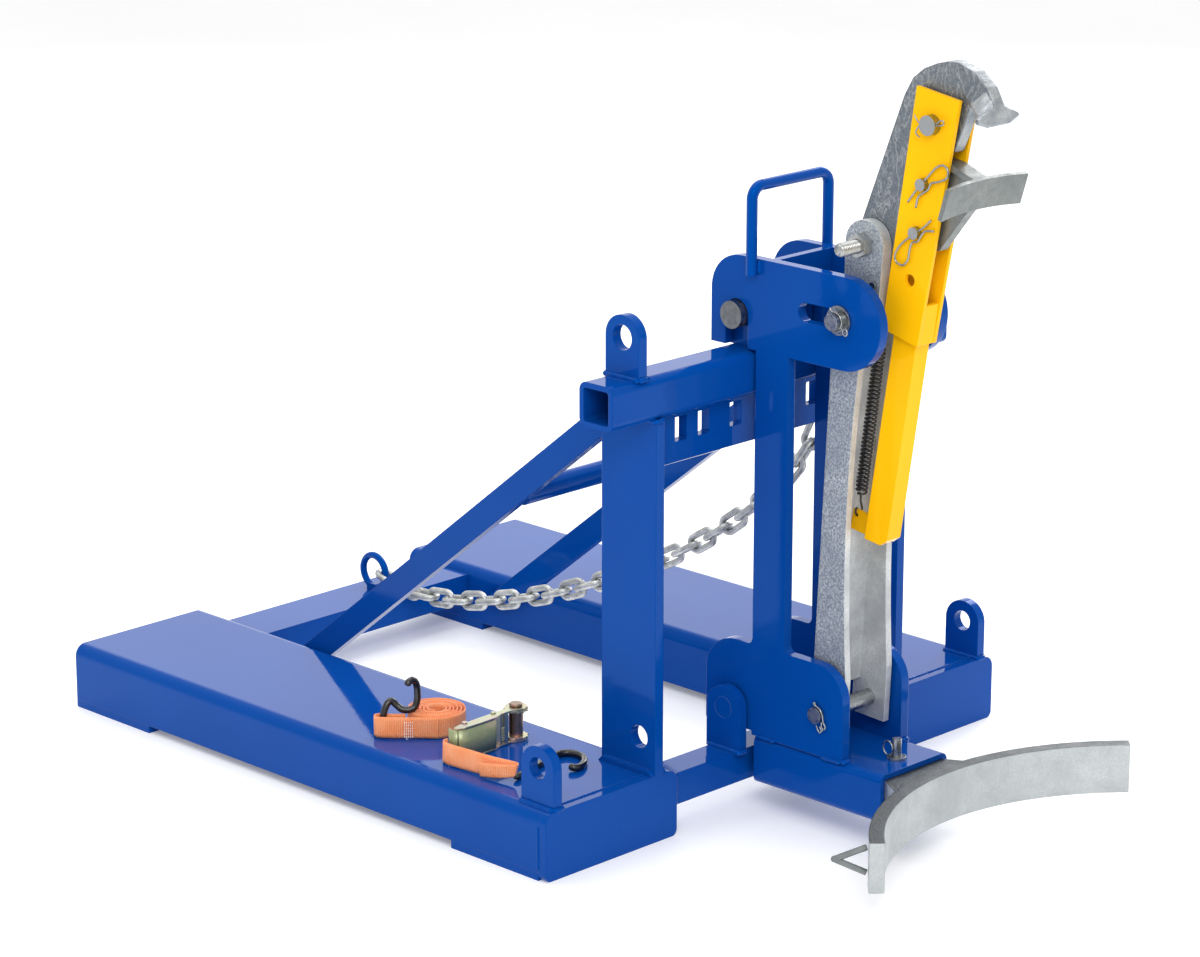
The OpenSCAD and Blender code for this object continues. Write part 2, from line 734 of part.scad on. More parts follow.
// the rods slant, so the rim of each end face comes nearest to the casting
eye_slope = atan2(eye_rise / 2, eye_reach);
eye_foot = seat + eye_rod / 2 * sin(eye_slope);
module strap_eyes() {
    color(grey) placed() for (s = [-1, 1]) side(s)
        translate([0, bumper_cy, bumper_z + bumper_h / 2]) rotate([0, 0, eye_angle]) {
            back = bumper_r + bumper_t + eye_foot;
            for (i = [-1, 1]) rod([0, back, i * eye_rise / 2], [0, back + eye_reach, 0], eye_rod);
            translate([0, back + eye_reach, 0]) sphere(d = eye_rod + seat);
        }
}
drop_pin_rise = 24;
washer_t = 3;
drop_head_h = 6;
module drop_pin() {
    color(grey) placed() translate([0, drop_y, cross_z - drop_head_h]) {
        cylinder(h = foot_tube_h + drop_pin_rise + drop_head_h, d = drop_pin_d);
        cylinder(h = drop_head_h - seat, d = 2 * drop_pin_d);
    }
}
module drop_pin_washer() {
    color(grey) placed() translate([0, drop_y, foot_tube_top]) difference() {
        cylinder(h = washer_t, d = 2 * drop_pin_d);
        translate([0, 0, -cut]) cylinder(h = washer_t + 2 * cut, d = drop_pin_d + 2 * fit);
    }
}
pin_end = 6;
pin_out = plate_out + pin_end;
module arm_pivot_pin() {
    color(grey) placed() translate([0, pivot_y, pivot_z]) across(pin_out, arm_pin_d / 2);
}

// arm
// drawn upright about its pivot: y is to the rear, z up
neck_z = guide_l + arm_pin_d;
waist_z = neck_z * 0.55;
waist_half = neck_z * 0.46;
waist_r = (waist_half * waist_half + arm_waist * arm_waist) / (2 * arm_waist);
module arm_profile() {
    difference() {
        union() {
            // the foot is square
            translate([-arm_r, -arm_r]) square([2 * arm_r, neck_z + arm_r]);
        }
        // the front edge is waisted
        translate([arm_waist - arm_r - waist_r, waist_z]) circle(waist_r, $fn = 240);
    }
}
module ear_profile() {
    translate([0, arm_l]) circle(ear_r);
    polygon([[-ear_r, arm_l], [ear_r, arm_l], [arm_r, guide_l - arm_r], [-arm_r, guide_l - arm_r]]);
}
spring_pin_drop = 1.55 * ear_r;
spring_pin_w = arm_l - spring_pin_drop;
spring_pin_y = -0.66 * ear_r;
module arm_shape() {
    difference() {
        union() {
            for (s = [-1, 1]) side(s) {
                slab(-arm_w / 2, arm_t) arm_profile();
                slab(-ear_out, ear_t) ear_profile();
                // shoulders between the flanges and the ears
                translate([-arm_w / 2, -arm_r, neck_z - arm_pin_d])
                    cube([arm_w / 2 - ear_in, 2 * arm_r, arm_pin_d]);
            }
            // back of the channel
            translate([-arm_w / 2, arm_r - arm_back_t, arm_pin_d])
                cube([arm_w, arm_back_t, neck_z - arm_pin_d]);
        }
        across(arm_w, arm_pin_d / 2 + fit);
        translate([0, 0, guide_l]) across(arm_w, arm_pin_d / 2 + fit);
        translate([0, 0, arm_l]) across(arm_w, stud_d / 2 + fit);
        translate([0, spring_pin_y, spring_pin_w]) across(arm_w, spring_pin_d / 2 + fit);
    }
}
module on_arm() { translate([0, pivot_y, pivot_z]) rotate([arm_lean, 0, 0]) children(); }
module arm() { color(grey) placed() on_arm() arm_shape(); }
guide_end = 15;
module guide_pin() {
    color(grey) placed() translate([0, guide_y, guide_z]) across(plate_out + guide_end, arm_pin_d / 2);
}
washer_share = 1.75;
module guide_washers() {
    color(grey) placed() for (s = [-1, 1]) side(s)
        translate([-plate_out - seat - washer_t, guide_y, guide_z])
        rotate([0, 90, 0]) difference() {
            cylinder(h = washer_t, d = washer_share * arm_pin_d);
            translate([0, 0, -cut]) cylinder(h = washer_t + 2 * cut, d = arm_pin_d + 2 * fit);
        }
}
stud_left = 65;
stud_right = 42;
module beak_stud() {
    color(grey) placed() translate([-stud_left, stud_y, stud_z]) rotate([0, 90, 0])
        cylinder(h = stud_left + stud_right, d = stud_d);
}
nut_h_share = 0.85;
nut_w_share = 1.73;
module stud_nuts() {
    color(grey) placed() for (s = [-1, 1]) side(s)
        translate([-ear_out - nut_h_share * stud_d, stud_y, stud_z]) rotate([0, 90, 0]) difference() {
            cylinder(h = nut_h_share * stud_d, d = nut_w_share * stud_d, $fn = 6);
            translate([0, 0, -cut]) cylinder(h = stud_d + 2 * cut, d = stud_d + 2 * fit);
        }
}
spring_pin_end = 4;
module spring_pin() {
    color(grey) placed() on_arm() translate([0, spring_pin_y, spring_pin_w])
        across(ear_out + spring_pin_end, spring_pin_d / 2);
}

// beak
// drawn upright about the stud, with the lever's pin straight above it;
// the outline is in shares of the distance between the two, the front edge
// is hollowed to pass behind the jaw
beak_shares = [[0.149, 0.024], [0.316, 0.985], [0.319, 1.122], [0.278, 1.23], [0.206, 1.328],
    [0.143, 1.391], [0.078, 1.433], [-0.06, 1.463], [-0.197, 1.445], [-0.298, 1.388], [-0.34, 1.331],
    [-0.298, 1.287], [-0.227, 1.272], [-0.155, 1.26], [-0.185, 1.104], [-0.209, 0.931],
    [-0.095, 0.848], [-0.016, 0.755], [-0.018, 0.64], [-0.055, 0.53], [-0.125, 0.36], [-0.155, 0.2],
    [-0.149, 0.0]];
// the crown flares sideways into a bill: [ridge forward, ridge up, foot forward, foot up] in the
// same shares, and the share of the lip's width that the foot of the flare has there
crown_shares = [[-0.06, 1.45, -0.03, 1.32, 0], [-0.14, 1.443, -0.11, 1.3, 0.07],
    [-0.205, 1.427, -0.175, 1.295, 0.17], [-0.26, 1.4, -0.235, 1.295, 0.35],
    [-0.3, 1.368, -0.29, 1.298, 0.62], [-0.328, 1.336, -0.335, 1.305, 1]];
ridge_half = 0.38 * beak_t;
ridge_r = 2;
lip_r = 2.8;
lip_bow = 0.55;
lip_bow_share = 0.022;
module crown_rib(c) {
    half = beak_t / 2 + c[4] * (lip_w - beak_t) / 2;
    translate([0, c[0] * beak_c, c[1] * beak_c]) across(ridge_half, ridge_r, $fn = 24);
    translate([0, c[2] * beak_c, c[3] * beak_c]) across(half, lip_r, $fn = 24);
    // the lip's middle bows forward
    translate([0, (c[2] - c[4] * lip_bow_share) * beak_c, (c[3] - c[4] * lip_bow_share) * beak_c])
        across(lip_bow * half, lip_r, $fn = 24);
}
module beak_shape() {
    difference() {
        union() {
            slab(-beak_t / 2, beak_t) {
                polygon(beak_c * beak_shares);
                circle(beak_foot_r);
            }
            for (i = [0 : len(crown_shares) - 2]) hull() {
                crown_rib(crown_shares[i]);
                crown_rib(crown_shares[i + 1]);
            }
        }
        across(beak_t, stud_d / 2 + fit);
        translate([0, 0, beak_c]) across(beak_t, top_pin_d / 2 + fit);
    }
}
module beak() {
    color(grey) placed() translate([0, stud_y, stud_z]) rotate([beak_lean, 0, 0]) beak_shape();
}

// lever
// drawn upright about the top pin: y is to the rear, the lever hangs down
module on_lever() { translate([0, crown_y, crown_z]) rotate([lever_lean, 0, 0]) children(); }
top_pin_end = 9.5;
module top_pin() {
    color(grey) placed() on_lever() across(lever_w / 2 + top_pin_end, top_pin_d / 2);
}
jaw_zs = [-jaw_pin_1, -jaw_pin_1 - jaw_pitch];
module lever_plates() {
    color(yellow) placed() on_lever() for (s = [-1, 1]) side(s) slab(-lever_w / 2, lever_t) difference() {
        polygon([[side_rear, side_up], [-side_front, side_up], [-side_toe, -side_l],
            [side_rear, -side_l + lever_t]]);
        circle(d = top_pin_d + 2 * fit);
        for (z = [jaw_zs[0], jaw_zs[1], jaw_zs[1] - jaw_pitch]) translate([0, z])
            circle(d = jaw_pin_d + 2 * fit);
    }
}
web_l = 46;
channel_lap = 12;
module lever_web() {
    // joins the two sides in front, above the channel
    color(yellow) placed() on_lever()
        translate([-side_in, -side_toe + seat, -side_l + seat]) cube([2 * side_in, lever_t, web_l]);
}
channel_front = lever_t - side_toe + 2 * seat;
tab_w = 12;
module lever_channel() {
    color(yellow) placed() on_lever() difference() {
        union() {
            difference() {
                translate([-side_in, channel_front, -lever_l])
                    cube([2 * side_in, channel_d, lever_l - side_l + channel_lap]);
                translate([lever_t - side_in, channel_front + lever_t, -lever_l - cut])
                    cube([2 * (side_in - lever_t), channel_d, lever_l]);
            }
            // hooked tab for the spring
            translate([-lever_t / 2, channel_front, -lever_l])
                cube([lever_t, spring_foot_y + tab_w / 2 - channel_front, 2 * tab_w]);
        }
        translate([0, spring_foot_y, spring_foot_z]) across(lever_t, spring_wire);
        // the front corners of the foot are cut off
        translate([0, channel_front, -lever_l]) rotate([45, 0, 0])
            cube([lever_w, tab_w, tab_w], center = true);
    }
}
spring_foot_y = 37;
spring_foot_z = -lever_l + 1.5 * tab_w;

// side view of the jaw's web, in shares of the pad's reach, from the top pin's line
jaw_shares = [[0.0, -0.55], [-0.42, -0.55], [-0.95, -0.66], [-0.89, -1.15], [-0.4, -2.03], [-0.2, -2.08],
    [0.07, -2.08], [0.19, -1.95], [0.2, -0.9], [0.15, -0.72]];
pad_top = 44;
hub_r = 12;
// the wide top of the jaw, between the pad and the first boss
stem_shares = [[-0.95, -0.66], [-0.42, -0.55], [-0.05, -0.55], [-0.05, -0.66], [-0.42, -0.66],
    [-0.95, -0.77]];
jaw_half = side_in - seat;
module lower_jaw() {
    color(grey) placed() on_lever() difference() {
        union() {
            // the curved pad
            translate([0, -pad_reach, -pad_top]) rotate([pad_tilt, 0, 0]) intersection() {
                translate([0, -bumper_r, -pad_h]) difference() {
                    cylinder(h = pad_h, r = bumper_r + pad_t, $fn = 96);
                    translate([0, 0, -cut]) cylinder(h = pad_h + 2 * cut, r = bumper_r, $fn = 96);
                }
                translate([-pad_w / 2, -pad_reach, -pad_h - cut])
                    cube([pad_w, 2 * pad_reach, pad_h + 2 * cut]);
            }
            slab(-jaw_web_t / 2, jaw_web_t) polygon(pad_reach * jaw_shares);
            slab(-jaw_half, 2 * jaw_half) polygon(pad_reach * stem_shares);
            for (z = jaw_zs) translate([0, 0, z]) across(jaw_half, hub_r);
        }
        for (z = jaw_zs) translate([0, 0, z]) across(lever_w, jaw_pin_d / 2 + fit);
    }
}
jaw_pin_end = 7;
module jaw_pins() {
    color(grey) placed() on_lever() for (z = jaw_zs) translate([0, 0, z])
        across(lever_w / 2 + jaw_pin_end, jaw_pin_d / 2);
}

// the spring pulls the lever's foot towards the pin across the arm's ears
spring_top_y = pivot_y + spring_pin_y * cos(arm_lean) - spring_pin_w * sin(arm_lean);
spring_top_z = pivot_z + spring_pin_y * sin(arm_lean) + spring_pin_w * cos(arm_lean);
spring_foot = [0, crown_y + spring_foot_y * cos(lever_lean) - spring_foot_z * sin(lever_lean),
    crown_z + spring_foot_y * sin(lever_lean) + spring_foot_z * cos(lever_lean)];
spring_line = [0, spring_top_y, spring_top_z] - spring_foot;
spring_tail = 24;
// the coil ends below the guide pin
spring_clear = 24;
spring_neck = guide_drop - spring_pin_drop + arm_pin_d / 2 + spring_clear;
module return_spring() {
    color(black) placed() translate(spring_foot) rotate([atan2(-spring_line[1], spring_line[2]), 0, 0]) {
        // the coil, and the straight wire of its two hooks
        translate([0, 0, spring_tail]) difference() {
            cylinder(h = norm(spring_line) - spring_tail - spring_neck, d = spring_d, $fn = 32);
            translate([0, 0, spring_wire]) cylinder(h = norm(spring_line) - spring_tail - spring_neck
                - 2 * spring_wire, d = spring_d - 2 * spring_wire, $fn = 32);
        }
        translate([0, 0, tab_w / 2 + 2 * seat])
            cylinder(h = spring_tail - tab_w / 2 - 2 * seat, d = spring_wire, $fn = 16);
        translate([0, 0, norm(spring_line) - spring_neck])
            cylinder(h = spring_neck - spring_pin_d / 2 - seat, d = spring_wire, $fn = 16);
    }
}

// ratchet strap, lying on the left pocket
strap_z = pocket_top + seat;
// one edge of a band of webbing that follows a list of points
function band_edge(p, off) = [for (i = [0 : len(p) - 1])
    let (d = p[min(i + 1, len(p) - 1)] - p[max(i - 1, 0)]) p[i] + off * [-d[1], d[0]] / norm(d)];
module band(p) {
    n = len(p) - 1;
    edge = band_edge(p, -webbing_t / 2);
    translate([0, 0, strap_z]) linear_extrude(webbing_w)
        polygon(concat(band_edge(p, webbing_t / 2), [for (i = [0 : n]) edge[n - i]]));
}
roll_at = [-277, 290];
roll_core = 9;
roll_steps = 18 * roll_turns;
// the roll ends in a loop that holds the first hook
roll_loop = [[-300, 262], [-318, 281], [-338, 300], [-347, 313], [-344, 322], [-336, 322],
    [-330, 314], [-316, 300]];
roll_start = 225;
module strap_roll() {
    spiral = [for (i = [0 : roll_steps]) let (a = roll_start + (roll_steps - i) * 360 * roll_turns / roll_steps,
        r = roll_core + (roll_r - roll_core) * i / roll_steps) roll_at + r * [cos(a), sin(a)]];
    color(orange) placed() band(concat(spiral, roll_loop));
}
tail_path = [[-340, 203], [-346, 203], [-351, 197], [-352, 186], [-350, 160], [-347, 130], [-340, 104]];
module strap_tail() { color(orange) placed() band(tail_path); }
hook_z = strap_z + hook_wire / 2;
// a bent rod in the horizontal plane, from angle a to angle b about c
module arc_rod(c, r, a, b) {
    translate(c) rotate(a) rotate_extrude(angle = b - a) translate([r, 0])
        circle(d = hook_wire, $fn = 20);
}
hook_r = 17;
hook_turn = 210;
hook_1_foot = [-338, 311, hook_z];
hook_1_bend = [-321, 290, 122];
hook_1_lean = 62;
hook_2_foot = [-334, 101, hook_z];
hook_2_at = [-252, 103, hook_z];
hook_2_from = 110;
module strap_hooks() {
    color(black) placed() {
        rod(hook_2_foot, hook_2_at + hook_r * [cos(hook_2_from), sin(hook_2_from), 0], hook_wire - seat);
        arc_rod(hook_2_at, hook_r, hook_2_from - hook_turn, hook_2_from);
        // the first hook stands on its bent end
        rod(hook_1_foot, hook_1_bend, hook_wire - seat);
        translate(hook_1_bend) rotate([0, 0, -hook_1_lean]) rotate([90, 0, 180])
            arc_rod([hook_r / 2, 0, 0], hook_r / 2, 0, 180);
    }
}

ratchet_at = [-276, 199, strap_z];
drum_x = 40;
module on_ratchet() { translate(ratchet_at) children(); }
module cheek(l) {
    linear_extrude(ratchet_t) {
        translate([-l / 2, -ratchet_w / 2]) square([l - ratchet_w / 2, ratchet_w]);
        translate([l / 2 - ratchet_w / 2, 0]) circle(d = ratchet_w);
    }
}
module ratchet_frame() {
    color(zinc) placed() on_ratchet() {
        for (z = [0, ratchet_h - ratchet_t]) translate([0, 0, z]) cheek(ratchet_l);
        // cross bar of the frame
        translate([0, 0, ratchet_t]) cylinder(h = ratchet_h - 2 * ratchet_t, r = ratchet_t, $fn = 24);
    }
}
module ratchet_handle() {
    color(zinc) placed() on_ratchet() translate([-ratchet_l / 2, -ratchet_w / 2, ratchet_t + seat])
        cube([ratchet_l / 2 - ratchet_t * 2, ratchet_t, ratchet_h - 2 * ratchet_t - 2 * seat]);
}
drum_end = 4;
module ratchet_drum() {
    color(zinc) placed() on_ratchet() translate([drum_x, 0, 0]) {
        translate([0, 0, ratchet_t + seat])
            cylinder(h = ratchet_h - 2 * ratchet_t - 2 * seat, d = drum_d);
        translate([0, 0, ratchet_h]) cylinder(h = drum_end, d = drum_d);
    }
}

left_fork_pocket();
right_fork_pocket();
left_pocket_end();
right_pocket_end();
front_straps();
rear_straps();
front_cross_tube();
rear_cross_tube();
left_upright();
right_upright();
left_brace();
right_brace();
brace_tie();
top_tube();
left_lifting_lug();
right_lifting_lug();
slotted_plate();
upper_saddles();
upper_hanger_bar();
lower_lugs();
lower_hanger_bar();
left_front_lug();
right_front_lug();
chain_anchor();
safety_chain();
left_side_plate();
right_side_plate();
carriage_web();
carriage_handle();
foot_tube();
bumper();
strap_eyes();
drop_pin();
drop_pin_washer();
arm_pivot_pin();
arm();
guide_pin();
guide_washers();
beak_stud();
stud_nuts();
spring_pin();
return_spring();
beak();
top_pin();
lever_plates();
lever_web();
lever_channel();
lower_jaw();
jaw_pins();
strap_roll();
strap_tail();
strap_hooks();
ratchet_frame();
ratchet_handle();
ratchet_drum();
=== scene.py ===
import json
import math

import bmesh
import bpy
from mathutils import Matrix, Vector


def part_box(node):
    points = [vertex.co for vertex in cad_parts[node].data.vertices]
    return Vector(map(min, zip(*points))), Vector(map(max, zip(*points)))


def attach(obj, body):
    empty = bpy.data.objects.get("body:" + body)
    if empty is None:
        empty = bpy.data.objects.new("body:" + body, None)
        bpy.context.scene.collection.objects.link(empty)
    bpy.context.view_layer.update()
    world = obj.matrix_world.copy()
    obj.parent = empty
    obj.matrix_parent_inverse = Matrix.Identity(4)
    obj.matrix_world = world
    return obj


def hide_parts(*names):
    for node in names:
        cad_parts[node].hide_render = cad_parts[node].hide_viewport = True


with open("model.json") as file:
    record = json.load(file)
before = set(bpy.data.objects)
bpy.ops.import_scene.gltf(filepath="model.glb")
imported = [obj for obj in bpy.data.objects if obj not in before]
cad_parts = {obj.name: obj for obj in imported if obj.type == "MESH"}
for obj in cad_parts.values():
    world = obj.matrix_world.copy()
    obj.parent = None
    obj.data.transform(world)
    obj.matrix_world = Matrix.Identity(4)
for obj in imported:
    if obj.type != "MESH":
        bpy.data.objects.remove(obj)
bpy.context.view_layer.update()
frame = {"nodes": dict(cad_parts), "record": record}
NODES = frame["nodes"]
BODIES = frame["record"]["behaviour"]["bodies"]
SLOTS = {s["node"]: s["material_slot"] for s in frame["record"]["subparts"]}

# Places are in metres in the row frame. Y is measured there from the middle
# of the machine; FRONT is where the pockets' front faces are.
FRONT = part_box("left_pocket_end")[0][1]


def at(x, y, z):
    """A point given in millimetres, y from the pockets' front faces."""
    return Vector((x / 1000, FRONT + y / 1000, z / 1000))


CAMERA_AT = at(-3191.67, -2861.80, 1629.41)
CAMERA_TURN = -45.30
CAMERA_RISE = 16.217
FOCAL = 117.651


def camera():
    az, el = math.radians(CAMERA_TURN), math.radians(CAMERA_RISE)
    back = Vector((math.sin(az) * math.cos(el), -math.cos(az) * math.cos(el), math.sin(el)))
    right = Vector((0, 0, 1)).cross(back).normalized()
    up = back.cross(right)
    data = bpy.data.cameras.new("camera")
    data.lens = FOCAL
    data.sensor_width = 36
    data.clip_end = 50
    obj = bpy.data.objects.new("camera", data)
    bpy.context.scene.collection.objects.link(obj)
    obj.matrix_world = Matrix((
        (right.x, up.x, back.x, CAMERA_AT.x), (right.y, up.y, back.y, CAMERA_AT.y),
        (right.z, up.z, back.z, CAMERA_AT.z), (0, 0, 0, 1)))
    bpy.context.scene.camera = obj


class Mat:
    """A node material with object coordinates at hand."""

    def __init__(self, name, **inputs):
        self.mat = bpy.data.materials.new(name)
        self.mat.use_nodes = True
        self.tree = self.mat.node_tree
        self.bsdf = self.tree.nodes["Principled BSDF"]
        for key, value in inputs.items():
            self.bsdf.inputs[key.replace("_", " ")].default_value = value
        self.coord = self.add("ShaderNodeTexCoord").outputs["Object"]
        self.normal = None

    def add(self, kind, **settings):
        node = self.tree.nodes.new(kind)
        for key, value in settings.items():
            setattr(node, key, value)
        return node

    def link(self, a, b):
        self.tree.links.new(a, b)

    def noise(self, scale, detail=3.0, rough=0.5, vector=None, stretch=None, swirl=0.0):
        node = self.add("ShaderNodeTexNoise")
        node.inputs["Scale"].default_value = scale
        node.inputs["Detail"].default_value = detail
        node.inputs["Roughness"].default_value = rough
        node.inputs["Distortion"].default_value = swirl
        source = vector or self.coord
        if stretch:
            mapping = self.add("ShaderNodeMapping")
            mapping.inputs["Scale"].default_value = stretch
            self.link(source, mapping.inputs["Vector"])
            source = mapping.outputs["Vector"]
        self.link(source, node.inputs["Vector"])
        return node.outputs["Fac"]

    def cells(self, scale, feature="F1", out="Distance"):
        node = self.add("ShaderNodeTexVoronoi", feature=feature)
        node.inputs["Scale"].default_value = scale
        self.link(self.coord, node.inputs["Vector"])
        return node.outputs[out]

    def ramp(self, fac, *stops):
        """stops are (position, value or colour)."""
        node = self.add("ShaderNodeValToRGB")
        elements = node.color_ramp.elements
        while len(elements) < len(stops):
            elements.new(0.5)
        for element, (place, value) in zip(elements, stops):
            element.position = place
            element.color = (value, value, value, 1) if isinstance(value, (int, float)) else (*value, 1)
        self.link(fac, node.inputs["Fac"])
        return node.outputs["Color"]

    def mix(self, fac, a, b):
        node = self.add("ShaderNodeMix", data_type="RGBA")
        for socket, value in ((node.inputs[0], fac), (node.inputs[6], a), (node.inputs[7], b)):
            if isinstance(value, (int, float)):
                socket.default_value = value
            elif isinstance(value, tuple):
                socket.default_value = (*value, 1)
            else:
                self.link(value, socket)
        return node.outputs[2]

    def math(self, operation, a, b=0.5):
        node = self.add("ShaderNodeMath", operation=operation)
        for socket, value in zip(node.inputs, (a, b)):
            if isinstance(value, (int, float)):
                socket.default_value = value
            else:
                self.link(value, socket)
        return node.outputs[0]

    def facing(self, axis):
        split = self.add("ShaderNodeSeparateXYZ")
        self.link(self.add("ShaderNodeNewGeometry").outputs["True Normal"], split.inputs[0])
        return split.outputs[axis]

    def bump(self, height, distance, strength=1.0):
        """Stacks a bump on what is there already; distance is the relief in metres."""
        node = self.add("ShaderNodeBump")
        node.inputs["Strength"].default_value = strength
        node.inputs["Distance"].default_value = distance
        self.link(height, node.inputs["Height"])
        if self.normal is not None:
            self.link(self.normal, node.inputs["Normal"])
        self.normal = node.outputs["Normal"]
        self.link(self.normal, self.bsdf.inputs["Normal"])

    def soft_edges(self, radius):
        node = self.add("ShaderNodeBevel", samples=6)
        node.inputs["Radius"].default_value = radius
        self.normal = node.outputs["Normal"]
        self.link(self.normal, self.bsdf.inputs["Normal"])

    def set(self, name, source):
        self.link(source, self.bsdf.inputs[name])


def powder_coat(name, base, dark, tint, edge=0.0012):
    m = Mat(name, Roughness=0.08, IOR=1.37, Specular_Tint=(*tint, 1))
    m.soft_edges(edge)
    drift = m.noise(5.0, 2.0)
    m.set("Base Color", m.mix(m.ramp(drift, (0.35, 0.0), (0.7, 1.0)), base, dark))
    m.set("Roughness", m.ramp(m.noise(40.0, 4.0, 0.6), (0.3, 0.04), (0.75, 0.10)))
    m.bump(m.noise(170.0, 2.0), 0.00012, 0.35)
    m.bump(m.noise(22.0, 1.0), 0.0008, 0.12)
    return m.mat


def galvanised(name, light, dark, flat=None, grain=1.0, edge=0.0012, relief=1.0, metallic=0.8, painted_top_shade=None,
               crinkle_glints=(420.0, 0.0, 0.44, 0.68)):
    """Hot-dip zinc: cloudy patches and a pebbled skin; flat is a painted dark reflection on the outer sides, with
    bright specks and streaks painted over it as highlights, and the top colour is painted shade on the top faces.
    """
    m = Mat(name, Metallic=metallic, Roughness=0.42)
    m.soft_edges(edge)
    clouds = m.ramp(m.noise(22.0 * grain, 6.0, 0.68), (0.36, 0.0), (0.64, 1.0))
    grit = m.ramp(m.noise(430.0, 4.0, 0.75), (0.38, 0.5), (0.6, 0.0))
    base = m.mix(grit, m.mix(clouds, dark, light), tuple(0.85 * c for c in dark))
    # Painted light: the outward sides take the flat colour as a painted dark reflection, and bright specks and streaks
    # are painted over it as highlights on the zinc's crinkled skin.
    if flat:
        place = m.add("ShaderNodeSeparateXYZ")
        m.link(m.coord, place.inputs[0])
        outward = m.math("MULTIPLY", m.facing("X"), m.math("SIGN", place.outputs["X"]))
        side = m.math("GREATER_THAN", outward, 0.93)
        scale, swirl, low, high = crinkle_glints
        glint_speck = m.math("MULTIPLY", m.ramp(m.noise(scale, 6.0, 0.72, swirl=swirl), (low, 0.0), (high, 1.0)),
                       m.ramp(m.noise(26.0, 3.0), (0.3, 0.35), (0.7, 0.9)))
        if swirl:
            highlight_streak = m.ramp(m.noise(55.0, 5.0, 0.62, stretch=(1, 1.3, 0.5), swirl=swirl),
                            (0.46, 0.0), (0.5, 0.6), (0.525, 0.1), (0.56, 0.0))
            glint_speck = m.math("MAXIMUM", m.math("MULTIPLY", glint_speck, 0.55), highlight_streak)
        base = m.mix(side, base, m.mix(glint_speck, flat, light))
    # Painted shade: faces pointing up take the darker top colour.
    if painted_top_shade:
        base = m.mix(m.math("GREATER_THAN", m.facing("Z"), 0.8), base, painted_top_shade)
    m.set("Base Color", base)
    m.set("Roughness", m.ramp(m.noise(60.0 * grain, 4.0, 0.6), (0.3, 0.34), (0.7, 0.56)))
    m.bump(m.noise(260.0 * grain, 5.0, 0.7), 0.0007 * relief, 0.8)
    m.bump(m.noise(34.0 * grain, 3.0), 0.0014 * relief, 0.25)
    return m.mat


def plated(name, base, rough=0.28, edge=0.0005, tarnish=(0.35, 0.34, 0.33)):
    m = Mat(name, Metallic=1.0, Roughness=rough)
    m.soft_edges(edge)
    m.set("Base Color", m.mix(m.ramp(m.noise(90.0, 4.0, 0.6), (0.45, 0.0), (0.8, 0.6)), base, tarnish))
    m.set("Roughness", m.ramp(m.noise(150.0, 3.0), (0.3, rough * 0.7), (0.7, rough * 1.5)))
    m.bump(m.noise(400.0, 3.0), 0.0001, 0.5)
    return m.mat


def zinc_yellow(name, one, two, three, metallic=0.95):
    m = Mat(name, Metallic=metallic, Roughness=0.32)
    m.soft_edges(0.0005)
    m.set("Base Color", m.ramp(m.noise(45.0, 4.0, 0.6), (0.35, one), (0.5, two), (0.62, three)))
    m.bump(m.noise(300.0, 3.0), 0.0001, 0.5)
    return m.mat


def webbing():
    """Woven polyester: ribs across the band and fine yarns along it."""
    m = Mat("webbing_orange", Roughness=0.62, Sheen_Weight=0.2, Sheen_Roughness=0.4)
    uv = m.add("ShaderNodeUVMap", uv_map="band").outputs["UV"]
    split = m.add("ShaderNodeSeparateXYZ")
    m.link(uv, split.inputs[0])
    ribs = m.math("SINE", m.math("MULTIPLY", split.outputs["X"], 2 * math.pi / 0.0021))
    yarns = m.math("SINE", m.math("MULTIPLY", split.outputs["Y"], 2 * math.pi / 0.0016))
    weave = m.math("ADD", m.math("MULTIPLY", ribs, 0.7), m.math("MULTIPLY", yarns, 0.3))
    shade = m.ramp(weave, (0.0, (0.96, 0.24, 0.07)), (0.6, (1.0, 0.42, 0.17)))
    m.set("Base Color", m.mix(m.ramp(m.noise(60.0, 4.0), (0.35, 0.0), (0.7, 0.3)), shade, (1.0, 0.56, 0.34)))
    m.bump(weave, 0.0004, 0.8)
    return m.mat


def rubbery(name, base, rough):
    m = Mat(name, Roughness=rough, Coat_Weight=0.3, Coat_Roughness=0.2)
    m.set("Base Color", m.ramp(m.noise(60.0, 3.0), (0.3, base), (0.8, tuple(c * 1.8 for c in base))))
    m.bump(m.noise(180.0, 3.0), 0.0002, 0.4)
    return m.mat


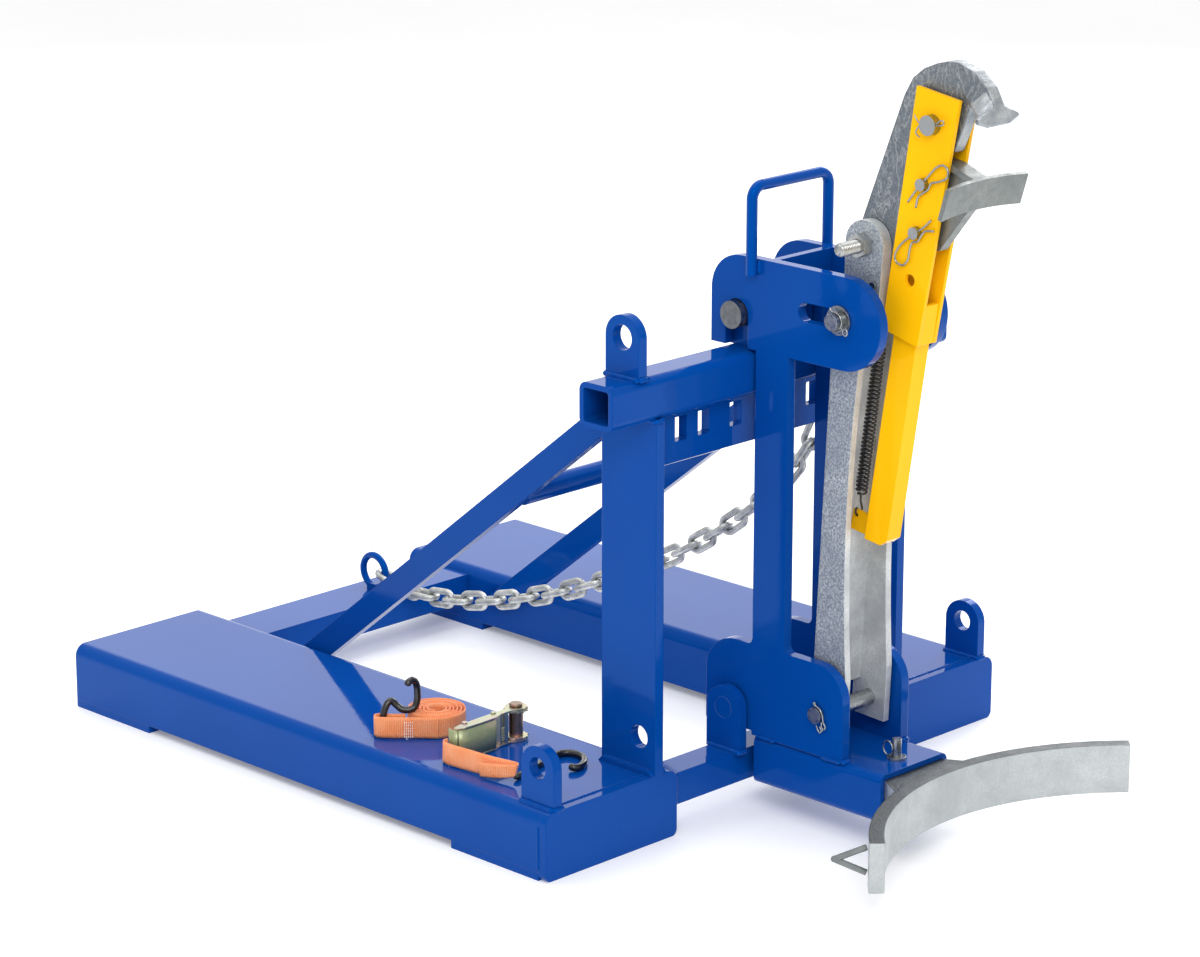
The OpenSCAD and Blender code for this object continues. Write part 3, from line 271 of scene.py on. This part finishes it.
def make_materials():
    return {
        "blue_paint": powder_coat("powder_blue", (0.001, 0.060, 0.315), (0.001, 0.053, 0.290), (0.0, 0.22, 0.9)),
        "yellow_paint": powder_coat("powder_yellow", (0.98, 0.52, 0.003), (0.94, 0.48, 0.003), (1.0, 0.55, 0.02), 0.001),
        # The bumper's last colour is painted shade for its top faces.
        "galvanised": galvanised("galvanised_bumper", (0.54, 0.57, 0.58), (0.42, 0.45, 0.46), None, 0.8, 0.0016,
                                 1.3, 0.8, (0.09, 0.10, 0.105)),
        # The beak's and arm's flat colours are a painted dark reflection on their outer sides, under painted
        # highlights.
        "casting": galvanised("galvanised_beak", (0.54, 0.56, 0.57), (0.25, 0.28, 0.31), (0.13, 0.155, 0.185), 1.6, 0.004,
                              crinkle_glints=(330.0, 1.2, 0.42, 0.70)),
        "arm_casting": galvanised("galvanised_arm", (0.74, 0.76, 0.76), (0.48, 0.50, 0.52), (0.22, 0.26, 0.31),
                                  relief=1.7, metallic=0.5, crinkle_glints=(380.0, 0.0, 0.43, 0.60)),
        "galvanised_smooth": galvanised("galvanised_jaw", (0.27, 0.285, 0.28), (0.19, 0.21, 0.21), None, 1.4, 0.0006, 0.4),
        "chain": galvanised("galvanised_chain", (0.78, 0.79, 0.77), (0.40, 0.41, 0.40), None, 2.6, 0.0004, 0.3, 0.95),
        "zinc_steel": plated("zinc_plate", (0.34, 0.36, 0.37)),
        "bare_steel": plated("bare_bar_end", (0.17, 0.18, 0.19), 0.4, 0.0005, (0.12, 0.12, 0.12)),
        "stud": plated("stud_zinc", (0.45, 0.46, 0.45), 0.3),
        "passivated_zinc": zinc_yellow("zinc_yellow", (0.58, 0.50, 0.33), (0.50, 0.54, 0.38), (0.60, 0.47, 0.42)),
        "zinc_olive": zinc_yellow("zinc_olive", (0.36, 0.39, 0.22), (0.28, 0.33, 0.17), (0.41, 0.37, 0.24), 0.3),
        "zinc_brown": zinc_yellow("zinc_brown", (0.34, 0.24, 0.17), (0.26, 0.20, 0.14), (0.42, 0.24, 0.20)),
        "black_steel": rubbery("black_coating", (0.006, 0.006, 0.007), 0.25),
        "spring_black": plated("spring_black", (0.10, 0.10, 0.105), 0.34, 0.0002, (0.05, 0.05, 0.05)),
        "webbing": webbing(),
        "stitch": rubbery("stitch_thread", (0.75, 0.72, 0.68), 0.7),
    }


def piece(name, verts, faces, body, material, smooth=True):
    mesh = bpy.data.meshes.new(name)
    mesh.from_pydata([tuple(v) for v in verts], [], faces)
    mesh.validate()
    obj = bpy.data.objects.new(name, mesh)
    bpy.context.scene.collection.objects.link(obj)
    bm = bmesh.new()
    bm.from_mesh(mesh)
    bmesh.ops.recalc_face_normals(bm, faces=bm.faces)
    bm.to_mesh(mesh)
    bm.free()
    if smooth:
        mesh.shade_smooth()
    mesh.materials.append(material)
    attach(obj, body)
    return obj


def tangents(path):
    n = len(path)
    return [(path[min(i + 1, n - 1)] - path[max(i - 1, 0)]).normalized() for i in range(n)]


def tube(path, radius, sides=12, closed=False):
    """Vertices and faces of a round tube; radius is a number or one number a point."""
    n = len(path)
    if closed:
        tang = [(path[(i + 1) % n] - path[i - 1]).normalized() for i in range(n)]
    else:
        tang = tangents(path)
    side = tang[0].orthogonal().normalized()
    verts, faces = [], []
    for i, (p, t) in enumerate(zip(path, tang)):
        side = (side - t * side.dot(t)).normalized()
        other = t.cross(side)
        r = radius[i] if isinstance(radius, (list, tuple)) else radius
        verts += [p + r * (math.cos(a) * side + math.sin(a) * other)
                  for a in (2 * math.pi * k / sides for k in range(sides))]
    rows = n if closed else n - 1
    for i in range(rows):
        a, b = i * sides, (i + 1) % n * sides
        faces += [(a + k, a + (k + 1) % sides, b + (k + 1) % sides, b + k) for k in range(sides)]
    if not closed:
        faces += [tuple(range(sides)), tuple((n - 1) * sides + k for k in range(sides))]
    return verts, faces


def smooth_path(points, steps=8):
    """Catmull-Rom through the points."""
    p = [Vector(x) for x in points]
    p = [2 * p[0] - p[1]] + p + [2 * p[-1] - p[-2]]
    out = []
    for i in range(1, len(p) - 2):
        for k in range(steps):
            t = k / steps
            out.append(0.5 * ((2 * p[i]) + (p[i + 1] - p[i - 1]) * t
                              + (2 * p[i - 1] - 5 * p[i] + 4 * p[i + 1] - p[i + 2]) * t * t
                              + (3 * p[i] - p[i - 1] - 3 * p[i + 1] + p[i + 2]) * t ** 3))
    return out + [p[-2]]


def merge(parts):
    verts, faces = [], []
    for v, f in parts:
        base = len(verts)
        verts += v
        faces += [tuple(i + base for i in face) for face in f]
    return verts, faces


def finish_cad(materials):
    """Every CAD node that stays gets its material."""
    special = {"arm": "arm_casting", "beak": "casting", "safety_chain": "chain", "upper_hanger_bar": "bare_steel", "stud_nuts": "stud",
               "lower_jaw": "galvanised_smooth", "strap_eyes": "galvanised_smooth"}
    for name, obj in NODES.items():
        material = materials[special.get(name, SLOTS[name])]
        obj.data.materials.clear()
        obj.data.materials.append(material)


def spring(materials):
    """The return spring: open coils between two hooks."""
    foot, top = at(0, -110.1, 364.7), at(0, -147.1, 638.6)
    axis = (top - foot).normalized()
    side = Vector((1, 0, 0))
    other = axis.cross(side)
    length = (top - foot).length
    r, low, high, pitch = 0.0060, 0.024, length - 0.072, 0.0047
    path = []
    for k in range(15):
        t = -2.4 + 4.6 * k / 14
        path.append(foot + axis * (0.0055 - 0.0055 * math.cos(t)) + side * 0.0055 * math.sin(t))
    path.append(foot + axis * 0.017 + side * 0.001)
    turns = (high - low) / pitch
    steps = int(turns * 18)
    for k in range(steps + 1):
        a = 2 * math.pi * turns * k / steps
        grow = min(1, k / 12, (steps - k) / 12)
        path.append(foot + axis * (low + (high - low) * k / steps)
                    + r * grow * (math.cos(a) * side + math.sin(a) * other))
    path.append(top - axis * 0.03)
    path.append(top - axis * 0.012 - other * 0.002)
    for k in range(12):
        t = -2.2 + 4.4 * k / 11
        path.append(top + 0.0055 * (math.cos(t) * axis + math.sin(t) * other))
    verts, faces = tube(path, 0.00125, 8)
    obj = piece("return_spring_coils", verts, faces, "arm", materials["spring_black"])
    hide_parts("return_spring")


def stud(materials):
    """The beak's stud, with rolled threads on the stretches outside its nuts."""
    low, high = (Vector(p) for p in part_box("beak_stud"))
    y, z, radius = (low.y + high.y) / 2, (low.z + high.z) / 2, (high.z - low.z) / 2
    sides, pitch, depth, step, chamfer = 32, 0.0025, 0.0010, 0.0003, 0.0016
    plain = 0.0335
    verts, faces = [], []
    rows = int((high.x - low.x) / step)
    for i in range(rows + 1):
        x = low.x + (high.x - low.x) * i / rows
        ease = min(1.0, min(x - low.x, high.x - x) / chamfer)
        for k in range(sides):
            a = 2 * math.pi * k / sides
            phase = (x / pitch + k / sides) % 1
            cut = depth * (1 - abs(2 * phase - 1)) if abs(x) > plain else 0
            r = radius - cut - 0.0012 * (1 - ease)
            verts.append((x, y + r * math.cos(a), z + r * math.sin(a)))
    for i in range(rows):
        a, b = i * sides, (i + 1) * sides
        faces += [(a + k, b + k, b + (k + 1) % sides, a + (k + 1) % sides) for k in range(sides)]
    faces += [tuple(reversed(range(sides))), tuple(rows * sides + k for k in range(sides))]
    obj = piece("stud_rod", verts, faces, "arm", materials["stud"])
    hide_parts("beak_stud")


def wires(materials):
    """Clips and cotters on the pins' near ends."""
    pin_x = -20.5
    upper = [(-189.6, 737), (-199.4, 749.7), (-207.6, 758.8), (-217.9, 769.8), (-228.5, 780.2), (-237.9, 783.8),
             (-244.0, 779.0), (-243, 771), (-232.2, 765.2), (-221.5, 762.0), (-217.2, 754.5), (-209.5, 749.2),
             (-203.6, 744), (-200.9, 732.6)]
    lower = [(-222.5, 721.5), (-211.7, 711.8), (-199.8, 703.9), (-191.4, 697.4), (-180.4, 688.1), (-173.2, 676.8),
             (-175.2, 668.6), (-184.3, 666.4), (-191.6, 673.7), (-193.4, 683.9), (-196.8, 693.0), (-205, 696.2),
             (-209.4, 703.0), (-215, 708.6), (-226.7, 710.4)]
    for name, line in (("upper_pin_clip", upper), ("lower_pin_clip", lower)):
        verts, faces = tube(smooth_path(yz(pin_x, line), 6), 0.00125, 8)
        piece(name, verts, faces, "lever", materials["zinc_steel"])

    q_y, q_z = -217.94, 824.73
    x = -22.6
    eye = [(-11.5, 3.2), (-15, 6.6), (-19.5, 7.2), (-20.4, 3.8), (-16, 1.8), (-11.5, 1.2)]
    up = [(-11.5, 3.2), (0, 1.2), (11.5, 1.0), (16, 3.2), (20, 8.4)]
    down = [(-11.5, 1.2), (0, -0.9), (11.5, -1.4), (15.6, -5.4), (17.6, -10.6), (12.5, -14.6)]
    parts = [tube(smooth_path(yz(x, [(q_y + a, q_z + b) for a, b in line]), 6), 0.0009, 8) for line in (eye, up, down)]
    verts, faces = merge(parts)
    piece("top_pin_cotter", verts, faces, "lever", materials["zinc_steel"])

    g_y, g_z = -127.4, 601.4
    x = -66.5
    ring = [(6.4, 14.6), (3.2, 10.8), (-2.4, 10.6), (-8.2, 7.2), (-10.9, 1.0), (-9.8, -5.2), (-12.8, -7.0)]
    left = [(-12.8, -7.0), (-4.6, -10.4), (4.0, -10.6), (10.6, -5.2), (11.6, 1.6), (8.6, 7.4)]
    eye = [(-12.8, -7.0), (-16.6, -5.6), (-19.2, -8.6), (-17.6, -12.6), (-13.6, -12.0), (-12.8, -7.0)]
    parts = [tube(smooth_path(yz(x, [(g_y + a, g_z + b) for a, b in line]), 6), 0.0011, 8) for line in (ring, left, eye)]
    verts, faces = merge(parts)
    piece("guide_pin_clip", verts, faces, "arm", materials["zinc_steel"])

    a_y, a_z = -104, 140
    x = -60.6
    outer = [(1.2, 15.6), (-0.6, 11.8), (-7.4, 8.4), (-11.0, 2.0), (-12.0, -4.8), (-15.4, -10.6), (-13.4, -13.6)]
    inner = [(2.6, 15.2), (1.2, 11.4), (-1.0, 11.4)]
    leg = [(-9.6, -5.6), (-9.8, -10.6), (-11.6, -14.6), (-8.2, -17.2)]
    loop = [(-2.2, -11.2), (-4.2, -15.8), (-7.4, -18.6), (-9.4, -15.6), (-7.2, -11.6)]
    parts = [tube(smooth_path(yz(x, [(a_y + a, a_z + b) for a, b in line]), 6), 0.0011, 8)
             for line in (outer, inner, leg, loop)]
    verts, faces = merge(parts)
    piece("arm_pin_cotter", verts, faces, "carriage", materials["zinc_steel"])

    # the drop pin's split ring hangs through its cross hole
    ring = [at(-6 + 0.8 * math.cos(a), -166 + 7.6 * math.cos(a), 103 + 8.4 * math.sin(a))
            for a in (2 * math.pi * k / 28 for k in range(28))]
    verts, faces = tube(ring, 0.0009, 8, closed=True)
    piece("drop_pin_ring", verts, faces, "carriage", materials["zinc_steel"])


def yz(x, pairs):
    return [at(x, y, z) for y, z in pairs]


def band(name, rings, material, thick=0.0019):
    """Webbing along rings of (bottom point, up direction, width); its UVs are metres along and across."""
    across = 8
    feet = [r[0] for r in rings]
    tang = tangents(feet)
    verts, faces, uvs = [], [], []
    run = 0.0
    count = 2 * (across + 1)
    for i, ((foot, up, width), t) in enumerate(zip(rings, tang)):
        if i:
            run += (foot - feet[i - 1]).length
        normal = t.cross(up).normalized()
        for face in (1, -1):
            for j in range(across + 1):
                k = j if face > 0 else across - j
                v = k / across
                slim = 0.55 if k in (0, across) else 1.0
                verts.append(foot + up * (width * v) + normal * (face * slim * thick / 2))
                uvs.append((run, width * v))
    for i in range(len(rings) - 1):
        a, b = i * count, (i + 1) * count
        faces += [(a + k, a + (k + 1) % count, b + (k + 1) % count, b + k) for k in range(count)]
    faces += [tuple(range(count)), tuple((len(rings) - 1) * count + k for k in range(count))]
    obj = piece(name, verts, faces, "strap_set", material)
    layer = obj.data.uv_layers.new(name="band")
    for loop in obj.data.loops:
        layer.data[loop.index].uv = uvs[loop.vertex_index]
    return obj, run


def webbings(materials):
    z0 = 80.4
    up = Vector((0, 0, 1))
    # the roll: six turns, then the loop that holds the first hook
    centre, core, outer, turns, start = (-277, 290), 9, 35, 6, 225
    steps = 36 * turns
    flat = []
    for i in range(steps + 1):
        a = math.radians(start + (steps - i) * 360 * turns / steps)
        r = core + (outer - core) * i / steps
        r += 0.35 * math.sin(2.3 * a) * i / steps
        flat.append((centre[0] + r * math.cos(a), centre[1] + r * math.sin(a)))
    loop = [(-300, 262), (-318, 281), (-338, 300), (-347, 313), (-344, 322), (-336, 322), (-330, 314), (-316, 300)]
    tail = smooth_path([at(x, y, z0) for x, y in flat[-3:] + loop], 8)[17:]
    path = [at(x, y, z0) for x, y in flat[:-1]] + tail
    rings = []
    for i, p in enumerate(path):
        lift = 0.0006 * math.sin(i * 0.11) + 0.0006
        rings.append((p + up * lift, up, 0.025))
    roll, length = band("webbing_roll", rings, materials["webbing"])
    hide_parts("strap_roll")

    # the short end, from the ratchet's bar to the second hook
    line = [(-340, 203), (-346, 203.4), (-350.6, 198), (-352, 186), (-350, 160), (-347, 130), (-342, 112),
            (-337.5, 102.5), (-335.5, 98.5), (-338.5, 97), (-341, 101.5), (-345.2, 110), (-350.4, 124), (-352.6, 136)]
    path = smooth_path([at(x, y, z0) for x, y in line], 10)
    rings = []
    n = len(path) - 1
    turn = 0.62
    for i, p in enumerate(path):
        t = i / n
        pinch = min(1.0, max(0.0, (t - 0.30) / (turn - 0.30))) ** 1.3
        back = max(0.0, (t - turn) / (1 - turn))
        lean = math.radians(18 * pinch * (1 - 1.6 * back) + 6 * math.sin(math.pi * t))
        direction = Vector((math.sin(lean), 0, math.cos(lean)))
        lift = 0.001 + 0.0075 * pinch * (1 - back)
        rings.append((p + up * lift, direction, 0.025 * (1 - 0.46 * pinch + 0.16 * back)))
    short, length = band("webbing_tail", rings, materials["webbing"])
    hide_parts("strap_tail")

    # bar tacks across the loop
    parts = []
    for k in range(5):
        u = 0.0022 * k
        a = at(-323.5, 279.5, z0 + 3) + Vector((-u * 0.72, u * 0.72, 0))
        for j in range(6):
            low = a + up * (0.0034 * j) + Vector((-0.0011, -0.0011, 0)) * 0.95
            parts.append(tube([low, low + up * 0.0012 + Vector((-0.0004, -0.0004, 0)), low + up * 0.0026], 0.00035, 6))
    verts, faces = merge(parts)
    piece("webbing_stitches", verts, faces, "strap_set", materials["stitch"])


def extrude(outline, z0, z1, bevel=0.0):
    """Closed prism over an outline of (x, y), with its rims eased."""
    n = len(outline)
    cx = sum(p[0] for p in outline) / n
    cy = sum(p[1] for p in outline) / n
    levels = [(z0, bevel), (z0 + bevel, 0), (z1 - bevel, 0), (z1, bevel)] if bevel else [(z0, 0), (z1, 0)]
    verts, faces = [], []
    for z, inset in levels:
        for x, y in outline:
            d = math.hypot(x - cx, y - cy) or 1
            k = (d - inset) / d
            verts.append((cx + (x - cx) * k, cy + (y - cy) * k, z))
    for row in range(len(levels) - 1):
        a, b = row * n, (row + 1) * n
        faces += [(a + k, a + (k + 1) % n, b + (k + 1) % n, b + k) for k in range(n)]
    faces += [tuple(reversed(range(n))), tuple((len(levels) - 1) * n + k for k in range(n))]
    return verts, faces


def disc(cx, cy, r, n=36, teeth=0, bite=0.0):
    out = []
    for k in range(n):
        a = 2 * math.pi * k / n
        saw = bite * ((k * teeth / n) % 1) if teeth else 0
        out.append((cx + (r - saw) * math.cos(a), cy + (r - saw) * math.sin(a)))
    return out


def ratchet(materials):
    """The strap's ratchet: two pressed cheeks, folded handle, slotted drum, pawl and its spring."""
    home = at(-276, 199, 80.4)

    def place(shape):
        return [home + Vector(v) / 1000 for v in shape[0]], shape[1]

    cheek = [(-61, -8), (-52, -12.6), (-30, -13.4), (-6, -12.8), (8, -8.2), (24, -8.0), (30, -10.6), (40, -13.4),
             (49, -10.2), (53.2, -3.6), (53.2, 3.6), (49, 10.2), (40, 13.4), (31, 9.6), (24, 2.0), (6, 1.5),
             (-20, 0.5), (-50, -1.0), (-61, -3)]
    cheeks = [extrude(cheek, 0, 2.4, 0.6), extrude(cheek, 37.6, 40, 0.6)]
    wheels = [extrude(disc(40, 0, 14.6, 66, 11, 2.2), 2.7, 5.0, 0.2), extrude(disc(40, 0, 14.6, 66, 11, 2.2), 35.0, 37.3, 0.2)]
    verts, faces = merge([place(s) for s in cheeks + wheels])
    frame_piece = piece("ratchet_cheeks", verts, faces, "strap_set", materials["passivated_zinc"], False)
    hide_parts("ratchet_frame")

    # the handle's web is folded round its end
    section = [(-4, -13.2), (-30, -13.4), (-50, -12.8), (-57, -10.4), (-61, -5.4), (-61.6, 0.0), (-60, 5.4)]
    line = smooth_path([(x, y, 0) for x, y in section], 6)
    outline = [(p.x, p.y) for p in line]
    offset = []
    for i, p in enumerate(line):
        t = (line[min(i + 1, len(line) - 1)] - line[max(i - 1, 0)]).normalized()
        offset.append((p.x - t.y * -1.8 * -1, p.y + t.x * -1.8))
    n = len(outline)
    verts, faces = [], []
    for z in (3.0, 37.0):
        verts += [(x, y, z) for x, y in outline] + [(x, y, z) for x, y in offset]
    m = 2 * n
    for i in range(n - 1):
        faces += [(i, i + 1, m + i + 1, m + i), (n + i + 1, n + i, m + n + i, m + n + i + 1),
                  (i + 1, i, n + i, n + i + 1), (m + i, m + i + 1, m + n + i + 1, m + n + i)]
    for i in (0, n - 1):
        faces.append((i, m + i, m + n + i, n + i))
    verts, faces = merge([place((verts, faces))])
    handle = piece("ratchet_handle_web", verts, faces, "strap_set", materials["zinc_olive"])
    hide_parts("ratchet_handle")

    # drum halves with the slot between them, head and rivets
    half = [(8.4 * math.cos(a), 8.4 * math.sin(a)) for a in (math.radians(12 + 156 * k / 16) for k in range(17))]
    shapes = [extrude([(40 + x, y) for x, y in half], 2.6, 37.4, 0.3),
              extrude([(40 - x, -y) for x, y in half], 2.6, 37.4, 0.3),
              extrude(disc(40, 0, 7.8), 40.1, 43.6, 0.9)]
    verts, faces = merge([place(s) for s in shapes])
    drum = piece("ratchet_drum_halves", verts, faces, "strap_set", materials["zinc_brown"], False)
    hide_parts("ratchet_drum")

    shapes = [extrude(disc(-42, -1, 3.4, 20), 39.9, 41.6, 0.6), extrude(disc(4, 0, 3.2, 20), 39.9, 41.6, 0.6),
              extrude([(8, -7), (10.4, -7), (10.4, 7), (8, 7)], 2.6, 37.4, 0.3),
              extrude([(14.4, -7.4), (20.6, -7.4), (20.6, -5.2), (14.4, -5.2)], 2.6, 37.4, 0.3),
              extrude(disc(17.4, 2, 3.0, 20), 2.6, 37.4)]
    coil = []
    for k in range(15 * 7 + 1):
        a = 2 * math.pi * k / 15
        coil.append(Vector((13 + 4.2 * math.cos(a), -3 + 4.2 * math.sin(a), 6 + 16 * k / 105)))
    verts, faces = merge([place(s) for s in shapes] + [place(tube(coil, 0.8, 8))])
    piece("ratchet_pawl", verts, faces, "strap_set", materials["passivated_zinc"], False)


def hooks(materials):
    """Two wire hooks in a dipped black skin: one stands on the roll, one lies on the pocket."""
    standing = [(-337, 316, 89), (-335.5, 316, 105), (-330, 316, 116), (-324, 315, 119.5), (-319, 311, 114),
                (-316, 305, 109.6), (-310, 299, 109.2), (-304, 296.5, 112), (-300.3, 296, 122), (-301, 296, 137),
                (-306.5, 296, 145.0), (-313.5, 296, 144.6), (-316.5, 296, 140.5)]
    lying = [(-335, 100, 84.2), (-304, 107, 84.2), (-270, 116, 84.2), (-252, 120, 84.4), (-238, 118, 84.2),
             (-231.4, 108, 84.2), (-233, 93, 84.2), (-243.5, 81, 84.2), (-256, 74.5, 84.2), (-265, 75, 84.6), (-267, 81, 86)]
    parts = []
    for line in (standing, lying):
        path = smooth_path([at(*q) for q in line], 8)
        sizes = [0.0041] * len(path)
        for k, share in enumerate((0.25, 0.7, 0.92)):
            sizes[k] *= share
            sizes[-1 - k] *= share
        parts.append(tube(path, sizes, 14))
    verts, faces = merge(parts)
    obj = piece("strap_hook_wires", verts, faces, "strap_set", materials["black_steel"])
    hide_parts("strap_hooks")


def bead(path, radius):
    """A weld bead: a tube with the ripple of its runs."""
    points = []
    for a, b in zip(path, path[1:]):
        count = max(2, int((b - a).length / 0.0013))
        points += [a.lerp(b, k / count) for k in range(count)]
    points.append(path[-1])
    sizes = []
    for i in range(len(points)):
        ends = min(1.0, (i + 1) / 3, (len(points) - i) / 3)
        sizes.append(radius * ends * (1 + 0.13 * math.sin(i * 1.9) + 0.08 * math.sin(i * 0.47 + 1)))
    return tube(points, sizes, 8)


def around(x0, x1, y0, y1, z):
    return [at(x0, y0, z), at(x1, y0, z), at(x1, y1, z), at(x0, y1, z), at(x0, y0, z)]


def welds(materials):
    base, carriage = [], []
    for s in (-1, 1):
        base.append(bead(around(s * 240.4, s * 226.9, -0.2, 51, 543.4), 0.0034))
        base.append(bead(around(s * 370.4, s * 357.1, 1.6, 53.4, 80.4), 0.0034))
        base.append(bead([at(s * 199.3, -0.4, 491.8), at(s * 212.2, -0.4, 491.8), at(s * 212.4, 50.8, 491.8)], 0.0032))
        base.append(bead([at(s * 61, -0.6, 71.6), at(s * 74, -0.6, 71.6), at(s * 74, 50, 71.6)], 0.0032))
        base.append(bead([at(s * 383.8, 12.4, 12), at(s * 383.8, 12.4, 64)], 0.0018))
        base.append(bead([at(s * 369, 12.6, 79.8), at(s * 190, 12.6, 79.8)], 0.0018))
        base.append(bead([at(s * 176, 3, 34), at(s * 176, 3, 70), at(s * 176, 36, 71.4)], 0.0030))
        carriage.append(bead([at(s * 57.2, -142.6, 91.8), at(s * 44, -142.6, 91.8)], 0.0034))
        carriage.append(bead([at(s * 56.9, -140, 91.2), at(s * 56.9, -110, 91.2)], 0.0022))
        carriage.append(bead([at(s * 56.9, -40, 91.2), at(s * 56.9, -10, 91.2)], 0.0022))
        for y in (-8.4, 4.4):
            carriage.append(bead([at(s * 57.4, y, 634), at(s * 57.4, y, 649)], 0.0030))
    verts, faces = merge(base)
    piece("base_welds", verts, faces, "base", materials["blue_paint"])
    verts, faces = merge(carriage)
    piece("carriage_welds", verts, faces, "carriage", materials["blue_paint"])


def area_light(name, place, target, size, power, color=(1, 1, 1)):
    data = bpy.data.lights.new(name, "AREA")
    data.shape = "RECTANGLE"
    data.size, data.size_y = size
    data.energy = power
    data.color = color
    obj = bpy.data.objects.new(name, data)
    bpy.context.scene.collection.objects.link(obj)
    obj.visible_camera = False
    obj.location = place
    obj.rotation_euler = (Vector(target) - Vector(place)).to_track_quat("-Z", "Y").to_euler()


def stage():
    size = 14.0
    mesh = bpy.data.meshes.new("floor")
    mesh.from_pydata([(-size, -size, 0), (size, -size, 0), (size, size, 0), (-size, size, 0)], [], [(0, 1, 2, 3)])
    floor = bpy.data.objects.new("floor", mesh)
    bpy.context.scene.collection.objects.link(floor)
    m = Mat("pale_floor", Roughness=0.6)
    m.set("Base Color", m.ramp(m.noise(1.5, 2.0), (0.3, 0.90), (0.7, 0.93)))
    m.bsdf.inputs["Emission Color"].default_value = (1, 1, 1, 1)
    m.bsdf.inputs["Emission Strength"].default_value = 0.2
    mesh.materials.append(m.mat)
    world = bpy.data.worlds.new("studio")
    world.use_nodes = True
    background = world.node_tree.nodes["Background"]
    background.inputs["Color"].default_value = (1, 1, 1, 1)
    background.inputs["Strength"].default_value = 0.8
    bpy.context.scene.world = world
    area_light("key", (-2.2, -2.6, 3.0), (0, 0, 0.4), (2.2, 1.6), 70)
    area_light("top", (0.2, 0.6, 3.2), (0, 0, 0.2), (3.0, 3.0), 40)
    area_light("rim", (2.8, 0.6, 1.8), (0, 0, 0.5), (1.2, 2.0), 40)
    area_light("back", (3.2, 3.2, 1.75), (0, 0, 0.9), (5.0, 2.6), 30)
    bpy.context.scene.view_settings.view_transform = "Standard"


def main():
    camera()
    materials = make_materials()
    finish_cad(materials)
    spring(materials)
    stud(materials)
    wires(materials)
    webbings(materials)
    ratchet(materials)
    hooks(materials)
    welds(materials)
    stage()


main()
